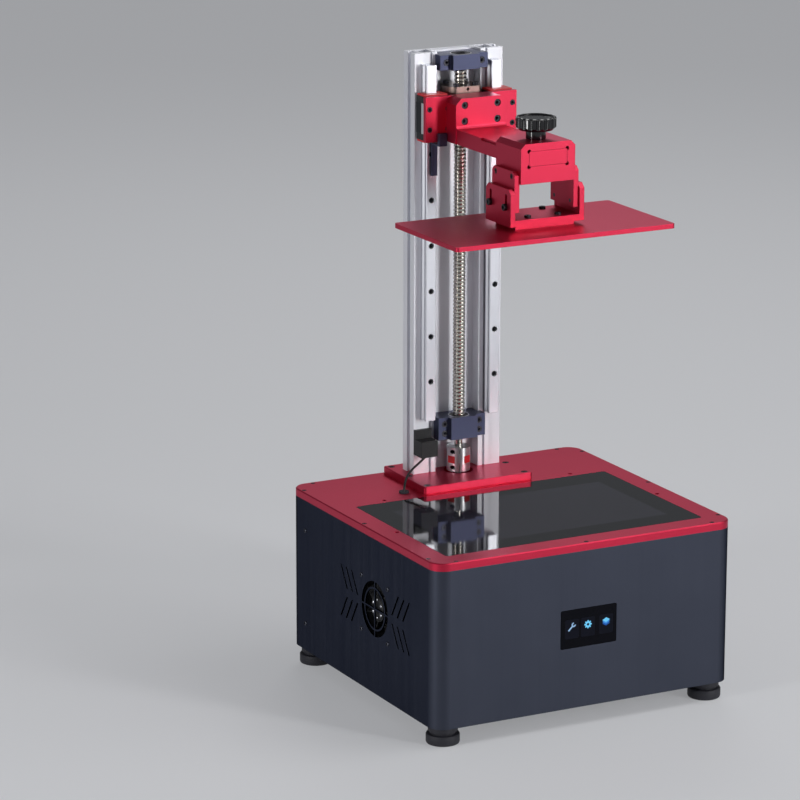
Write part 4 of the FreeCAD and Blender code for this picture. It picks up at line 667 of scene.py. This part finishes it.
def gear_sign():
    """A ring with teeth round it."""
    bm = bmesh.new()
    hole, rim, teeth = 1.7, 4, 8
    flat_ring(bm, hole, rim)
    start = len(bm.faces)
    flat_bar(bm, 1.6, 1.8, at(rim + 0.5, 0, 0))
    bm.faces.ensure_lookup_table()
    bmesh.ops.spin(bm, geom=bm.faces[start:], cent=(0, 0, 0), axis=Z, angle=TURN * (teeth - 1) / teeth,
                   steps=teeth - 1, use_duplicate=True)
    on_screen("screen_gear", bm, SIGN_LIGHT, SIGN_PLACES[1], SIGN_PROUD)


def layers_sign():
    """Three stacked sheets seen from a corner, paler to the top."""
    reach, flattened, lowest, gap, lift = 5.5, 0.56, -2.4, 2.3, 0.01
    for number, material in enumerate((SIGN_DEEP, SIGN_MID, SIGN_LIGHT)):
        bm = bmesh.new()
        bmesh.ops.create_circle(bm, segments=4, radius=reach * MM, cap_ends=True)
        bmesh.ops.scale(bm, verts=bm.verts, vec=(1, flattened, 1))
        bmesh.ops.translate(bm, verts=bm.verts, vec=(0, (lowest + gap * number) * MM, 0))
        proud = SIGN_PROUD + lift * number
        on_screen(f"screen_layer_{number + 1}", bm, material, SIGN_PLACES[2], proud)


tiles()
wrench_sign()
gear_sign()
layers_sign()


# Small fittings

def coupling_screws():
    """Clamp screws in the pockets of the two coupling hubs."""
    bm = bmesh.new()
    radius, head, length, dome = 2.8, 3.4, 3.5, 0.3
    turn, inset = math.radians(158.5), 5.5
    levels = (extent("coupling_lower_hub", 2)[0] + inset, extent("coupling_upper_hub", 2)[1] - inset)
    for level in levels:
        pocket = at(0, pivot_of["screw"].y, level) @ Matrix.Rotation(turn, 4, "Z") @ at(9, 9.5, 0)
        screw = socket_screw(radius, head, length, dome)
        joined(bm, screw, pocket @ Matrix.Rotation(math.radians(-90), 4, "X"))
    shown("coupling_clamp_screws", bm, [OXIDE], "screw")


def hub_cap():
    """Shallow cap on the outer end of the fan's hub, held by a circle of round rivets."""
    cap, rivets = bmesh.new(), bmesh.new()
    rivet_circle, count = 12, 6
    turned(cap, [(0, 1.1), (14.6, 1.1), (15.4, 0.6), (15.8, -0.2), (0, -0.2)], steps=48)
    turned(rivets, [(0, 2), (1.3, 1.75), (2, 1.3), (2.2, 0.9), (0, 0.9)], steps=14)
    bmesh.ops.translate(rivets, verts=rivets.verts, vec=(rivet_circle * MM, 0, 0))
    bmesh.ops.spin(rivets, geom=rivets.faces[:], cent=(0, 0, 0), axis=Z, angle=TURN * (count - 1) / count,
                   steps=count - 1, use_duplicate=True)
    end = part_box("fan_rotor")[0][0] / MM
    outward = at(end, *pivot_of["fan"].yz) @ Matrix.Rotation(math.radians(-90), 4, "Y")
    for name, bm, material, slot in (("fan_hub_cap", cap, MOULDED, "black_plastic"),
                                     ("fan_hub_rivets", rivets, GROUND, "rail_steel")):
        bmesh.ops.transform(bm, matrix=outward, verts=bm.verts)
        shown(name, bm, [material], "fan")


def inlet_blades():
    """Plated blades over the inlet's three contacts."""
    bm = bmesh.new()
    middle_y, level, size = 190.55, 64, (2.1, 11.1, 5.1, 1)
    for x in (124, 130, 136):
        blade = bmesh.ops.create_cube(bm, size=MM)["verts"]
        bmesh.ops.transform(bm, matrix=at(x, middle_y, level) @ Matrix.Diagonal(size), verts=blade)
    bmesh.ops.bevel(bm, geom=bm.edges[:], offset=0.3 * MM, segments=2, profile=0.5, affect="EDGES",
                    material=-1)
    shown("inlet_blades", bm, [CONTACT], "base")


def rocker_marks():
    """On and off marks printed on the two slopes of the mains switch."""
    bm = bmesh.new()
    tilt, slope = math.radians(8), math.radians(10.6)
    surface, offset, proud = 4.25, 4, 0.06
    pivot = at(*pivot_of["rocker"]) @ Matrix.Rotation(tilt, 4, "X")
    for side in (-1, 1):
        start = len(bm.verts)
        if side == 1:
            flat_ring(bm, 1.5, 2.1)
        else:
            flat_bar(bm, 0.7, 4.2, at(0, 0, 0))
        bm.verts.ensure_lookup_table()
        lean = Matrix.Rotation(slope * side - math.radians(90), 4, "X")
        face = at(0, surface, offset * side) @ lean @ at(0, 0, proud)
        bmesh.ops.transform(bm, matrix=pivot @ face, verts=bm.verts[start:])
    shown("rocker_marks", bm, [PRINT], "rocker")


coupling_screws()
hub_cap()
inlet_blades()
rocker_marks()


# Stage, light and camera

FLOOR_HALF = 40
PALE_SHARE = 0.35
WORLD_STRENGTH = 0.22
SENSOR_MM, FOCAL_PIXELS, IMAGE_PIXELS = 36, 3813.8, 800

floor_mesh = bpy.data.meshes.new("floor")
floor_bm = bmesh.new()
bmesh.ops.create_grid(floor_bm, x_segments=1, y_segments=1, size=FLOOR_HALF)
floor_bm.to_mesh(floor_mesh)
floor_bm.free()
floor = bpy.data.objects.new("floor", floor_mesh)
bpy.context.scene.collection.objects.link(floor)
floor_material, floor_tree, floor_shader, _ = started("floor_pale", Roughness=0.7)
floor_shader.inputs["Base Color"].default_value = linear("#E8E9EC")
# The floor shows a share of plain pale tone to the eye, in metal and through glass, and keeps the shadow
pale = add_node(floor_tree, "Emission", {"Color": linear("#DCDDE0")})
rays = add_node(floor_tree, "LightPath", {}).outputs
seen = rays["Is Camera Ray"]
for kind in ("Is Glossy Ray", "Is Transmission Ray"):
    seen = add_node(floor_tree, "Math", {0: seen, 1: rays[kind]}, operation="MAXIMUM").outputs[0]
share = add_node(floor_tree, "Math", {0: seen, 1: PALE_SHARE}, operation="MULTIPLY").outputs[0]
blend = add_node(floor_tree, "MixShader", {0: share, 1: floor_shader.outputs[0], 2: pale.outputs[0]})
floor_tree.links.new(blend.outputs[0], floor_tree.nodes["Material Output"].inputs["Surface"])
floor_mesh.materials.append(floor_material)


def soft_box(name, place, aim, size, power, spread=180):
    """A rectangular lamp: places and sizes in metres, power in watts, the beam's spread in degrees."""
    lamp = bpy.data.lights.new(name, "AREA")
    lamp.shape = "RECTANGLE"
    lamp.size, lamp.size_y = size
    lamp.energy = power
    lamp.spread = math.radians(spread)
    holder = bpy.data.objects.new(name, lamp)
    holder.location = place
    holder.rotation_euler = (Vector(aim) - Vector(place)).to_track_quat("-Z", "Y").to_euler()
    bpy.context.scene.collection.objects.link(holder)


soft_box("front_strip", (1.9, -3.6, 1.4), (0, 0, 0.8), (0.6, 2.0), 18, spread=90)
soft_box("left_strip", (-2.5, -0.5, 0.75), (0, 0, 0.5), (0.2, 1.1), 5, spread=90)
soft_box("back_box", (1.5, 2.7, 2.5), (0, 0, 0.4), (1.6, 0.8), 12)
soft_box("top_box", (1.7, -0.9, 3.5), (0, 0, 0.4), (1.8, 1.8), 30)

world = bpy.data.worlds.new("studio")
bpy.context.scene.world = world
world.use_nodes = True
world.node_tree.nodes["Background"].inputs["Color"].default_value = linear("#DDE0E6")
world.node_tree.nodes["Background"].inputs["Strength"].default_value = WORLD_STRENGTH

camera_data = bpy.data.cameras.new("camera")
camera_data.sensor_width = SENSOR_MM
camera_data.lens = FOCAL_PIXELS * SENSOR_MM / IMAGE_PIXELS
camera = bpy.data.objects.new("camera", camera_data)
azimuth, elevation, roll = math.radians(-27.69), math.radians(14.62), math.radians(0.11)
back = Vector((math.sin(azimuth) * math.cos(elevation), -math.cos(azimuth) * math.cos(elevation),
               math.sin(elevation)))
camera.rotation_mode = "QUATERNION"
camera.rotation_quaternion = (-back).to_track_quat("-Z", "Y") @ Matrix.Rotation(roll, 3, "Z").to_quaternion()
camera.location = (-2.3099, -4.1002, 1.6005)
bpy.context.scene.collection.objects.link(camera)
bpy.context.scene.camera = camera
bpy.context.scene.view_settings.view_transform = "Standard"
